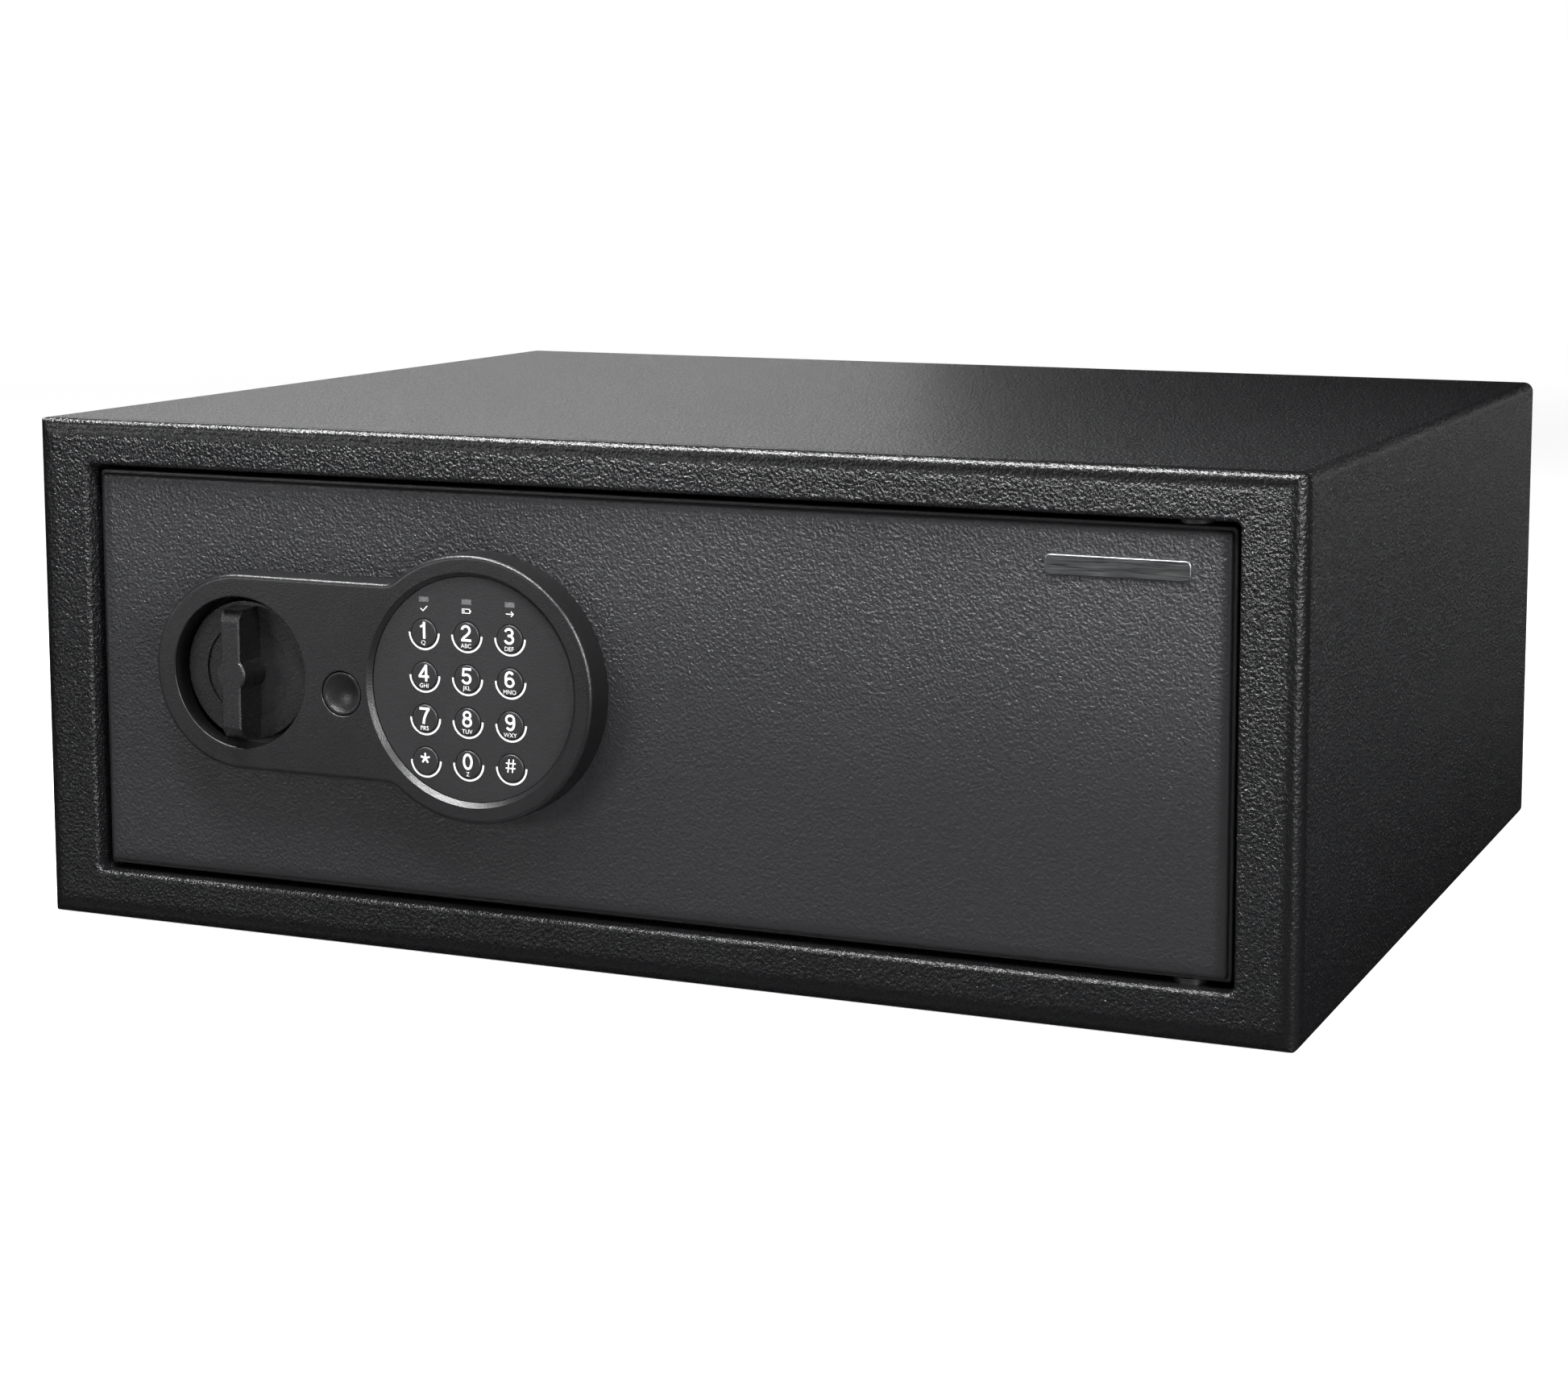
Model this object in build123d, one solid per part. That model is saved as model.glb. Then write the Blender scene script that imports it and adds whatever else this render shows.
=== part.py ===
from build123d import *
import math
import os

# In-room safe. Millimetres, +X to the right, -Y out of the front, +Z up.
# Origin: middle of the underside of the cabinet.

# ---- Cabinet ----
WIDTH = 508.0
DEPTH = 400.0
HEIGHT = 197.0
SHEET = 2.0
LONG_BEND_R = 4.0
FRONT_RAIL_BEND_R = 3.0
FRONT_UPRIGHT_BEND_R = 5.5
FRONT = -DEPTH / 2
BACK = DEPTH / 2

OPENING_W = 462.0
OPENING_H = 161.0
OPENING_Z = 99.0
OPENING_CORNER_R = 2.5
RETURN_DEPTH = 19.0
RETURN_EDGE_R = 1.8

BACK_INSET = 1.0
ANCHOR_R = 5.0
BASE_ANCHOR_X = 340.0
BASE_ANCHOR_Y = 180.0
BACK_ANCHOR_X = 300.0

MAT_T = 2.0
MAT_MARGIN = 2.0
MAT_HOLE_R = 9.0

# ---- Door plate ----
DOOR_GAP = 2.3
DOOR_RECESS = 4.5
DOOR_T = 4.5
DOOR_W = OPENING_W - 2 * DOOR_GAP
DOOR_H = OPENING_H - 2 * DOOR_GAP
DOOR_FACE = FRONT + DOOR_RECESS
DOOR_BACK = DOOR_FACE + DOOR_T
DOOR_RIGHT = DOOR_W / 2
DOOR_TOP = OPENING_Z + DOOR_H / 2
DOOR_BOTTOM = OPENING_Z - DOOR_H / 2
DOOR_RIM = 1.3
DOOR_RIM_STEP = 1.6

# ---- Door hinge ----
HINGE_X = DOOR_RIGHT - 16.0
HINGE_Y = DOOR_FACE + 8.0
PIN_R = 3.0
PIN_BORE_R = 3.05
HINGE_BLOCK_W = 18.0
HINGE_BLOCK_H = 17.0
HINGE_BLOCK_D = 12.0
BRACKET_W = 20.0
BRACKET_H = 6.0
WASHER_R = 6.0
WASHER_T = 2.0

# ---- Blank badge plate ----
BADGE_X = 187.0
BADGE_Z = 161.5
BADGE_W = 52.0
BADGE_H = 7.0
BADGE_T = 0.8

# ---- Lock housing on the door ----
HOUSING_T = 13.5
HOUSING_FACE = DOOR_FACE - HOUSING_T
LOBE_R = 37.6
RING_R = 50.25
NECK_FILLET_R = 9.0
HOUSING_EDGE_R = 1.8
HOUSING_WALL = 3.0
HOUSING_SKIN = 3.0
HOUSING_SCREW_X = -124.0
HOUSING_SCREW_DZ = 28.0
HOUSING_SCREW_R = 1.5
HOUSING_SCREW_LEN = 6.0
LOCK_Z = 104.0
KNOB_X = -157.0
KEYPAD_X = -57.3

# ---- Turn knob ----
WELL_R = 29.0
WELL_FLOOR_T = 2.5
WELL_WALL = 2.5
KNOB_R = 26.8
KNOB_FACE = DOOR_FACE - 7.5
KNOB_T = 3.5
KNOB_DISH_R = 18.2
KNOB_DISH_DEPTH = 0.8
GRIP_STAND = 12.0
GRIP_FACE = KNOB_FACE - GRIP_STAND
GRIP_LEN = 49.5
GRIP_W = 8.2
GRIP_FLARE = 1.1
GRIP_BOSS_R = 6.3
GRIP_END_Z = 4.5
GRIP_END_Y = 3.0
GRIP_BEVEL = 0.6
SPINDLE_R = 4.0
SPINDLE_TIP = KNOB_FACE - 6.0
BUSH_R = 6.0
BUSH_FLANGE_R = 9.0
BUSH_FLANGE_T = 1.5
BUSH_BORE_R = 4.05

# ---- Override lock and its cap ----
CAP_X = -112.2
CAP_Z = 99.0
CAP_R = 8.2
CAP_HOLE_R = 8.5
CAP_T = 5.6
CAP_DISH_SPHERE_R = 11.0
CAP_RIM = 1.0
CAP_EDGE_R = 0.45
LOCK_HEAD_R = 9.0
LOCK_HEAD_T = 3.2
LOCK_BARREL_R = 8.0
LOCK_BARREL_END = DOOR_BACK + 22.0
LOCK_PLUG_R = 5.0
LOCK_PLUG_BORE_R = 5.05
LOCK_NUT_R = 12.5
LOCK_NUT_T = 4.0
KEYHOLE_W = 1.2
KEYHOLE_H = 7.0
LOCK_CAM_R = 6.5
LOCK_CAM_TIP_R = 3.5
LOCK_CAM_REACH = 16.0
LOCK_CAM_T = 2.0

# ---- Keypad ----
KEYPAD_R = 42.25
KEYPAD_RECESS = 2.0
KEYPAD_BEVEL = 1.7
MOUTH_R = 0.5
FACE_R = 42.0
FACE_T = 2.5
FACE_Y = HOUSING_FACE + KEYPAD_RECESS
LEDGE_R = 40.8
KEY_R = 5.2
KEY_HOLE_R = 5.5
KEY_PITCH_X = 18.0
KEY_PITCH_Z = 16.0
KEY_GROUP_X = KEYPAD_X - 1.9
KEY_TOP_Z = LOCK_Z + 20.0
KEY_PROUD = 0.7
KEY_TRAVEL = 0.8
KEY_FLANGE_R = 5.9
KEY_FLANGE_T = 0.8
KEY_STEM_R = 2.0
KEY_NAMES = ["1", "2", "3", "4", "5", "6", "7", "8", "9", "star", "0", "hash"]
LED_Z = LOCK_Z + 32.6
LED_W = 4.1
LED_H = 2.0
BOARD_R = 37.5
BOARD_T = 1.6
BOARD_Y = DOOR_FACE - 2.7
SWITCH_R = 3.0
SWITCH_T = 0.9
RIBBON_X0 = -48.0
RIBBON_X1 = -32.0
RIBBON_T = 0.4

# ---- Bolt work behind the door plate ----
CARRIAGE_FRONT = DOOR_BACK + 30.0
CARRIAGE_T = 3.0
CARRIAGE_LEFT = -202.0
CARRIAGE_RIGHT = -135.0
CARRIAGE_HALF_H = 50.0
BOLT_R = 8.0
BOLT_Y = DOOR_BACK + 21.0
BOLT_OFFSET_Z = 42.0
BOLT_TIP = -227.0
BOLT_TRAVEL = 16.0
BOLT_SPIGOT_R = 4.0
CRANK_R = BOLT_TRAVEL / math.sqrt(2)
CRANK_PIN_R = 2.5
CAM_FRONT = DOOR_BACK + 25.5
CAM_T = 3.0
CAM_HUB_R = 7.5
CAM_EYE_R = 5.0
CAM_WEB_W = 10.0
GUIDE_X = -226.0
GUIDE_T = 3.0
GUIDE_POST_X = -165.0
GUIDE_POST_DZ = 34.0
GUIDE_POST_R = 4.0
GUIDE_SCREW_R = 2.5
SLOT_CLEAR = 0.4
CRANK_CLEAR = 0.7

# ---- Solenoid that blocks the bolt carriage ----
SOLENOID_X = -185.0
SOLENOID_Z = 86.0
SOLENOID_BACK = DOOR_BACK + 14.0
SOLENOID_W = 22.0
SOLENOID_H = 18.0
YOKE_T = 1.5
COIL_R = 8.5
PLUNGER_R = 3.5
PLUNGER_END = DOOR_BACK + 3.0
PLUNGER_TIP = DOOR_BACK + 25.0
COLLAR_Y = DOOR_BACK + 20.2
COLLAR_R = 5.5
COLLAR_T = 1.0
SPRING_R = 4.5
SPRING_WIRE_R = 0.4
SPRING_TURNS = 3.5
PLUNGER_TRAVEL = 8.0
PLUNGER_BORE_R = 3.6

# ---- Control board behind the door plate ----
CONTROL_Y = DOOR_BACK + 6.0
CONTROL_X0 = -72.0
CONTROL_X1 = -8.0
CONTROL_Z0 = 62.0
CONTROL_Z1 = 146.0
CONTROL_FOOT_R = 2.5
CONTROL_FOOT_INSET = 4.0

# ---- Inner cover, battery box, reset button ----
COVER_LEFT = -221.0
COVER_RIGHT = 192.0
COVER_BOTTOM = 27.0
COVER_TOP = 171.0
COVER_BACK = DOOR_BACK + 42.0
COVER_T = 1.2
COVER_POST_R = 4.0
COVER_POST_DX = 12.0
COVER_POST_DZ = 9.0
COVER_SCREW_R = 2.0
CELL_R = 7.25
CELL_LEN = 50.5
CELL_PITCH = 15.5
CELL_NUB = 1.2
CELL_Y = COVER_BACK - COVER_T - 1.6 - CELL_R
BATTERY_X = 33.0
BATTERY_Z = 99.0
BATTERY_W = 66.0
BATTERY_H = 60.0
BATTERY_WALL = 1.6
BATTERY_LIP = 4.0
RIB_COUNT = 4
RIB_PITCH = 3.0
RIB_W = 1.2
RIB_H = 20.0
RESET_X = -30.0
RESET_Z = 140.0
RESET_R = 3.5
RESET_FLANGE_R = 5.0
RESET_SWITCH_W = 12.0


def box(x0, x1, y0, y1, z0, z1):
    """Block between two corners."""
    centre = Pos((x0 + x1) / 2, (y0 + y1) / 2, (z0 + z1) / 2)
    return centre * Box(x1 - x0, y1 - y0, z1 - z0)


def cyl_x(y, z, r, x0, x1):
    """Cylinder along X."""
    return Pos((x0 + x1) / 2, y, z) * Rot(0, 90, 0) * Cylinder(r, x1 - x0)


def cyl_y(x, z, r, y0, y1):
    """Cylinder along Y."""
    return Pos(x, (y0 + y1) / 2, z) * Rot(90, 0, 0) * Cylinder(r, y1 - y0)


def cyl_z(x, y, r, z0, z1):
    """Cylinder along Z."""
    return Pos(x, y, (z0 + z1) / 2) * Cylinder(r, z1 - z0)


def hex_y(x, z, r, y0, y1):
    """Hexagonal bar along Y, r from centre to corner."""
    return extrude_y(Pos(x, z) * RegularPolygon(r, 6), y0, y1)


def extrude_y(sketch, y0, y1):
    """Front-view outline, drawn as X and Z, made solid between two depths."""
    front = Plane(origin=(0, y1, 0), x_dir=(1, 0, 0), z_dir=(0, -1, 0))
    return extrude(front * sketch, amount=y1 - y0)


def slot_x(x0, x1, z, r, y0, y1):
    """Round-ended slot along X between two end centres."""
    body = box(x0, x1, y0, y1, z - r, z + r)
    return body + cyl_y(x0, z, r, y0, y1) + cyl_y(x1, z, r, y0, y1)


def edges_at_y(solid, y, tol=1e-3):
    """Edges that lie wholly in the plane at depth y."""
    found = []
    for edge in solid.edges():
        extent = edge.bounding_box()
        if abs(extent.min.Y - y) < tol and abs(extent.max.Y - y) < tol:
            found.append(edge)
    return found


def joined(solids):
    """Separate solids kept in one named group."""
    return Compound(children=list(solids))


# ---------------------------------------------------------------- cabinet

def bent_block(inset, y0, y1):
    """Cabinet outline moved in by inset, with each set of bends at its own radius."""
    half_w = WIDTH / 2 - inset
    top = HEIGHT - inset
    outline = RectangleRounded(2 * half_w, HEIGHT - 2 * inset, LONG_BEND_R - inset)
    block = extrude_y(Pos(0, HEIGHT / 2) * outline, y0, y1)
    uprights = box(-half_w, half_w, y0, y1, inset, top)
    bends = uprights.edges().filter_by(Axis.Z).sort_by(Axis.Y)[:2]
    uprights = fillet(bends, FRONT_UPRIGHT_BEND_R - inset)
    rails = box(-half_w, half_w, y0, y1, inset, top)
    bends = rails.edges().filter_by(Axis.X).sort_by(Axis.Y)[:2]
    rails = fillet(bends, FRONT_RAIL_BEND_R - inset)
    return block & uprights & rails


def cabinet_body():
    """Folded sheet box with a front flange and a return around the door opening."""
    outside = bent_block(0.0, FRONT, BACK)
    inside = bent_block(SHEET, FRONT + SHEET, BACK + 1)
    shell = outside - inside
    opening = Pos(0, OPENING_Z) * RectangleRounded(OPENING_W, OPENING_H, OPENING_CORNER_R)
    collar_outline = RectangleRounded(
        OPENING_W + 2 * SHEET, OPENING_H + 2 * SHEET, OPENING_CORNER_R + SHEET
    )
    collar = extrude_y(Pos(0, OPENING_Z) * collar_outline, FRONT + SHEET, FRONT + RETURN_DEPTH)
    body = (shell + collar) - extrude_y(opening, FRONT - 1, FRONT + RETURN_DEPTH + 1)
    rim = []
    for edge in edges_at_y(body, FRONT):
        inside_x = abs(edge.center().X) <= OPENING_W / 2 + 0.01
        inside_z = abs(edge.center().Z - OPENING_Z) <= OPENING_H / 2 + 0.01
        if inside_x and inside_z:
            rim.append(edge)
    body = fillet(rim, RETURN_EDGE_R)
    for x in (-BASE_ANCHOR_X / 2, BASE_ANCHOR_X / 2):
        for y in (-BASE_ANCHOR_Y / 2, BASE_ANCHOR_Y / 2):
            body -= cyl_z(x, y, ANCHOR_R, -1, SHEET + 1)
    for z0, z1 in bracket_levels():
        body -= cyl_z(HINGE_X, HINGE_Y, PIN_R, z0 - SHEET - 1, z1 + SHEET + 1)
    return body


def bracket_levels():
    """Lower and upper height range of the two hinge brackets."""
    top = OPENING_Z + OPENING_H / 2 + SHEET
    bottom = OPENING_Z - OPENING_H / 2 - SHEET
    return [(bottom - BRACKET_H, bottom), (top, top + BRACKET_H)]


def back_panel():
    """Flat rear sheet, set in by one millimetre, with two wall anchor holes."""
    outline = RectangleRounded(WIDTH - 2 * SHEET, HEIGHT - 2 * SHEET, LONG_BEND_R - SHEET)
    y1 = BACK - BACK_INSET
    panel = extrude_y(Pos(0, HEIGHT / 2) * outline, y1 - SHEET, y1)
    for x in (-BACK_ANCHOR_X / 2, BACK_ANCHOR_X / 2):
        panel -= cyl_y(x, HEIGHT / 2, ANCHOR_R, y1 - SHEET - 1, y1 + 1)
    return panel


def floor_mat():
    """Felt mat on the cabinet floor, cut out over the base anchor holes."""
    half_x = WIDTH / 2 - SHEET - MAT_MARGIN
    front = FRONT + RETURN_DEPTH + MAT_MARGIN
    rear = BACK - BACK_INSET - SHEET - MAT_MARGIN
    mat = box(-half_x, half_x, front, rear, SHEET, SHEET + MAT_T)
    for x in (-BASE_ANCHOR_X / 2, BASE_ANCHOR_X / 2):
        for y in (-BASE_ANCHOR_Y / 2, BASE_ANCHOR_Y / 2):
            mat -= cyl_z(x, y, MAT_HOLE_R, 0, SHEET + MAT_T + 1)
    return mat


def hinge_bracket(z0, z1):
    """Steel pad welded behind the flange that holds a hinge pin."""
    half = BRACKET_W / 2
    pad = box(HINGE_X - half, HINGE_X + half, FRONT + SHEET, FRONT + RETURN_DEPTH, z0, z1)
    return pad - cyl_z(HINGE_X, HINGE_Y, PIN_R, z0 - 1, z1 + 1)


def hinge_pin(z0, z1):
    """Plain steel hinge pin with a small lead-in at both ends."""
    pin = cyl_z(HINGE_X, HINGE_Y, PIN_R, z0, z1)
    return chamfer(pin.edges().filter_by(GeomType.CIRCLE), 0.4)


def hinge_washers():
    """Nylon washer on each pin, between the door and the return."""
    washers = []
    for z0 in (OPENING_Z - OPENING_H / 2, OPENING_Z + OPENING_H / 2 - WASHER_T):
        ring = cyl_z(HINGE_X, HINGE_Y, WASHER_R, z0, z0 + WASHER_T)
        washers.append(ring - cyl_z(HINGE_X, HINGE_Y, PIN_R, z0 - 1, z0 + WASHER_T + 1))
    return joined(washers)


# ------------------------------------------------------------------- door

def housing_screw_places():
    """X, Z of the four screws that hold the lock housing to the door."""
    ring = (KEYPAD_R + 1.75) * math.cos(math.radians(45))
    places = []
    for x, dz in ((HOUSING_SCREW_X, HOUSING_SCREW_DZ), (KEYPAD_X + ring, ring)):
        places.append((x, LOCK_Z + dz))
        places.append((x, LOCK_Z - dz))
    return places


def cover_post_places():
    """X, Z of the four posts that carry the inner cover."""
    places = []
    for x in (COVER_LEFT + COVER_POST_DX, COVER_RIGHT - COVER_POST_DX):
        for z in (COVER_BOTTOM + COVER_POST_DZ, COVER_TOP - COVER_POST_DZ):
            places.append((x, z))
    return places


def door_plate():
    """Door leaf: thick plate with a stepped, rounded front rim."""
    ledge_y = DOOR_FACE + DOOR_RIM_STEP
    full = extrude_y(Pos(0, OPENING_Z) * RectangleRounded(DOOR_W, DOOR_H, 1.5), ledge_y, DOOR_BACK)
    full = fillet(edges_at_y(full, ledge_y), 0.6)
    raised_outline = RectangleRounded(DOOR_W - 2 * DOOR_RIM, DOOR_H - 2 * DOOR_RIM, 1.5)
    raised = extrude_y(Pos(0, OPENING_Z) * raised_outline, DOOR_FACE, DOOR_BACK)
    raised = fillet(edges_at_y(raised, DOOR_FACE), 1.4)
    plate = full + raised
    plate -= cyl_y(KNOB_X, LOCK_Z, BUSH_R, DOOR_FACE - 1, DOOR_BACK + 1)
    plate -= cyl_y(CAP_X, CAP_Z, LOCK_BARREL_R, DOOR_FACE - 1, DOOR_BACK + 1)
    plate -= ribbon_block(1.0, DOOR_FACE - 1, DOOR_BACK + 1)
    for x, z in housing_screw_places():
        plate -= cyl_y(x, z, HOUSING_SCREW_R + 0.3, DOOR_FACE - 1, DOOR_BACK + 1)
    return plate


def hinge_block(z0, z1):
    """Bored block welded to the back of the door that turns on a hinge pin."""
    half = HINGE_BLOCK_W / 2
    block = box(HINGE_X - half, HINGE_X + half, DOOR_BACK, DOOR_BACK + HINGE_BLOCK_D, z0, z1)
    block = fillet(block.edges().filter_by(Axis.Z).sort_by(Axis.Y)[-2:], 2.0)
    return block - cyl_z(HINGE_X, HINGE_Y, PIN_BORE_R, z0 - 1, z1 + 1)


def badge_plate():
    """Blank name plate, no lettering."""
    outline = Pos(BADGE_X, BADGE_Z) * RectangleRounded(BADGE_W, BADGE_H, 2.0)
    plate = extrude_y(outline, DOOR_FACE - BADGE_T, DOOR_FACE)
    return fillet(edges_at_y(plate, DOOR_FACE - BADGE_T), 0.3)


def housing_outline(inset=0.0):
    """Knob lobe, straight neck and keypad ring in one outline."""
    lobe = LOBE_R - inset
    neck = Pos((KNOB_X + KEYPAD_X) / 2, LOCK_Z) * Rectangle(KEYPAD_X - KNOB_X, 2 * lobe)
    outline = neck + Pos(KNOB_X, LOCK_Z) * Circle(lobe)
    outline += Pos(KEYPAD_X, LOCK_Z) * Circle(RING_R - inset)
    inner_corners = [v for v in outline.vertices() if KNOB_X + 5 < v.X < KEYPAD_X - 5]
    return fillet(inner_corners, NECK_FILLET_R)


def mouth_edges(body, radii):
    """Round edges of the given radii in the housing's front face."""
    found = []
    for edge in edges_at_y(body, HOUSING_FACE):
        if edge.geom_type == GeomType.CIRCLE and round(edge.radius, 3) in radii:
            found.append(edge)
    return found


def lock_housing():
    """Moulded housing with the knob well, cap hole and keypad recess."""
    body = extrude_y(housing_outline(), HOUSING_FACE, DOOR_FACE)
    body = fillet(edges_at_y(body, HOUSING_FACE), HOUSING_EDGE_R)
    hollow = housing_outline(HOUSING_WALL)
    hollow -= Pos(KNOB_X, LOCK_Z) * Circle(WELL_R + WELL_WALL)
    hollow -= Pos(KEYPAD_X, LOCK_Z) * Circle(RING_R)
    hollow -= Pos(CAP_X, CAP_Z) * Circle(LOCK_HEAD_R + HOUSING_WALL)
    for x, z in housing_screw_places()[:2]:
        hollow -= Pos(x, z) * Circle(4.0)
    hollow = hollow.faces().sort_by(SortBy.AREA)[-1]
    body -= extrude_y(Sketch() + hollow, HOUSING_FACE + HOUSING_SKIN, DOOR_FACE + 1)
    floor_y = DOOR_FACE - WELL_FLOOR_T
    body -= cyl_y(KNOB_X, LOCK_Z, WELL_R, HOUSING_FACE - 1, floor_y)
    body -= cyl_y(KNOB_X, LOCK_Z, BUSH_R + 1, floor_y - 1, DOOR_FACE + 1)
    body -= cyl_y(KEYPAD_X, LOCK_Z, KEYPAD_R, HOUSING_FACE - 1, FACE_Y + FACE_T)
    body -= cyl_y(KEYPAD_X, LOCK_Z, LEDGE_R, HOUSING_FACE, DOOR_FACE + 1)
    body -= cyl_y(CAP_X, CAP_Z, CAP_HOLE_R, HOUSING_FACE - 1, HOUSING_FACE + CAP_T + 1.4)
    body -= cyl_y(CAP_X, CAP_Z, CAP_HOLE_R - 1.5, HOUSING_FACE, DOOR_FACE + 1)
    body -= cyl_y(CAP_X, CAP_Z, LOCK_HEAD_R + 0.2, DOOR_FACE - LOCK_HEAD_T - 0.2, DOOR_FACE + 1)
    body = fillet(mouth_edges(body, (WELL_R, CAP_HOLE_R)), MOUTH_R)
    body = chamfer(mouth_edges(body, (KEYPAD_R,)), KEYPAD_BEVEL)
    for x, z in housing_screw_places():
        body -= cyl_y(x, z, HOUSING_SCREW_R, DOOR_FACE - HOUSING_SCREW_LEN, DOOR_FACE + 1)
    return body


def housing_screws():
    """Four pan-head screws that clamp the housing from inside the door."""
    screws = []
    for x, z in housing_screw_places():
        head = cyl_y(x, z, 3.0, DOOR_BACK, DOOR_BACK + 2.0)
        head = fillet(edges_at_y(head, DOOR_BACK + 2.0), 0.6)
        thread = cyl_y(x, z, HOUSING_SCREW_R, DOOR_FACE - HOUSING_SCREW_LEN, DOOR_BACK)
        screws.append(head + thread)
    return joined(screws)


def keypad_face():
    """Face plate with a round hole for each key and three lamp windows."""
    plate = cyl_y(KEYPAD_X, LOCK_Z, FACE_R, FACE_Y, FACE_Y + FACE_T)
    for _, x, z in key_places():
        plate -= cyl_y(x, z, KEY_HOLE_R, FACE_Y - 1, FACE_Y + FACE_T + 1)
    for x in lamp_places():
        plate -= lamp_block(x, FACE_Y - 1, FACE_Y + FACE_T + 1)
    return plate


def key_places():
    """Name, X and Z of each key, left to right and top to bottom."""
    places = []
    for i, name in enumerate(KEY_NAMES):
        row, column = divmod(i, 3)
        x = KEY_GROUP_X + (column - 1) * KEY_PITCH_X
        places.append((name, x, KEY_TOP_Z - row * KEY_PITCH_Z))
    return places


def lamp_places():
    """X of the three lamp windows, one over each column of keys."""
    return [x for _, x, _ in key_places()[:3]]


def lamp_block(x, y0, y1):
    """Block with the outline of one lamp window."""
    return box(x - LED_W / 2, x + LED_W / 2, y0, y1, LED_Z - LED_H / 2, LED_Z + LED_H / 2)


def key(x, z):
    """Round key: domed cap, retaining flange behind the plate, and a stem."""
    front = FACE_Y - KEY_PROUD
    plate_back = FACE_Y + FACE_T
    cap = cyl_y(x, z, KEY_R, front, plate_back + 0.3)
    cap = fillet(edges_at_y(cap, front), 0.6)
    flange = cyl_y(x, z, KEY_FLANGE_R, plate_back + 0.3, plate_back + 0.3 + KEY_FLANGE_T)
    stem_end = BOARD_Y - SWITCH_T - KEY_TRAVEL - 0.4
    stem = cyl_y(x, z, KEY_STEM_R, plate_back + 0.3 + KEY_FLANGE_T, stem_end)
    return cap + flange + stem


def indicator_lenses():
    """Three small light windows, flush with the face plate."""
    front = FACE_Y + 0.1
    back = FACE_Y + FACE_T + 0.8
    return joined(lamp_block(x, front, back) for x in lamp_places())


def keypad_board():
    """Round circuit board behind the keys."""
    return cyl_y(KEYPAD_X, LOCK_Z, BOARD_R, BOARD_Y, BOARD_Y + BOARD_T)


def keypad_switches():
    """One dome switch under each key."""
    domes = []
    for _, x, z in key_places():
        dome = cyl_y(x, z, SWITCH_R, BOARD_Y - SWITCH_T, BOARD_Y)
        domes.append(chamfer(edges_at_y(dome, BOARD_Y - SWITCH_T), 0.4))
    return joined(domes)


def ribbon_block(grow, y0, y1):
    """Flat strip behind the keypad, widened by grow for its slot."""
    half = RIBBON_T / 2 + grow
    return box(RIBBON_X0 - grow, RIBBON_X1 + grow, y0, y1, LOCK_Z - half, LOCK_Z + half)


def keypad_ribbon():
    """Ribbon cable from the keypad board through the door to the control board."""
    return ribbon_block(0.0, BOARD_Y + BOARD_T, CONTROL_Y)


def control_board():
    """Lock controller board on the back of the door, with its chips and plug."""
    rear = CONTROL_Y + BOARD_T
    board = box(CONTROL_X0, CONTROL_X1, CONTROL_Y, rear, CONTROL_Z0, CONTROL_Z1)
    small_chip = box(-60, -48, rear, rear + 1.8, 110, 122)
    long_chip = box(-30, -20, rear, rear + 2.4, 80, 104)
    plug = box(-66, -52, rear, rear + 7.4, 70, 77)
    board += small_chip + long_chip + plug
    for x in (CONTROL_X0 + CONTROL_FOOT_INSET, CONTROL_X1 - CONTROL_FOOT_INSET):
        for z in (CONTROL_Z0 + CONTROL_FOOT_INSET, CONTROL_Z1 - CONTROL_FOOT_INSET):
            board += cyl_y(x, z, CONTROL_FOOT_R, DOOR_BACK, CONTROL_Y)
    return board


def spindle_bush():
    """Bronze bush in the door plate for the knob spindle."""
    bush = cyl_y(KNOB_X, LOCK_Z, BUSH_R, DOOR_FACE - 1.2, DOOR_BACK)
    bush += cyl_y(KNOB_X, LOCK_Z, BUSH_FLANGE_R, DOOR_BACK, DOOR_BACK + BUSH_FLANGE_T)
    return bush - cyl_y(KNOB_X, LOCK_Z, BUSH_BORE_R, DOOR_FACE - 2, DOOR_BACK + BUSH_FLANGE_T + 1)


def bolt_heights():
    """Height of each locking bolt."""
    return [LOCK_Z - BOLT_OFFSET_Z, LOCK_Z + BOLT_OFFSET_Z]


def bolt_guide():
    """Angle bracket welded to the door, bored for the two bolts."""
    z0 = LOCK_Z - BOLT_OFFSET_Z - 2 * BOLT_R
    z1 = LOCK_Z + BOLT_OFFSET_Z + 2 * BOLT_R
    guide = box(GUIDE_X, GUIDE_X + GUIDE_T, DOOR_BACK, BOLT_Y + 1.5 * BOLT_R, z0, z1)
    for z in bolt_heights():
        guide -= cyl_x(BOLT_Y, z, BOLT_R + 0.1, GUIDE_X - 1, GUIDE_X + GUIDE_T + 1)
    return guide


def carriage_posts():
    """Two posts on the door that carry the bolt carriage."""
    heights = (LOCK_Z - GUIDE_POST_DZ, LOCK_Z + GUIDE_POST_DZ)
    end = CARRIAGE_FRONT - SLOT_CLEAR
    return joined(cyl_y(GUIDE_POST_X, z, GUIDE_POST_R, DOOR_BACK, end) for z in heights)


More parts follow.
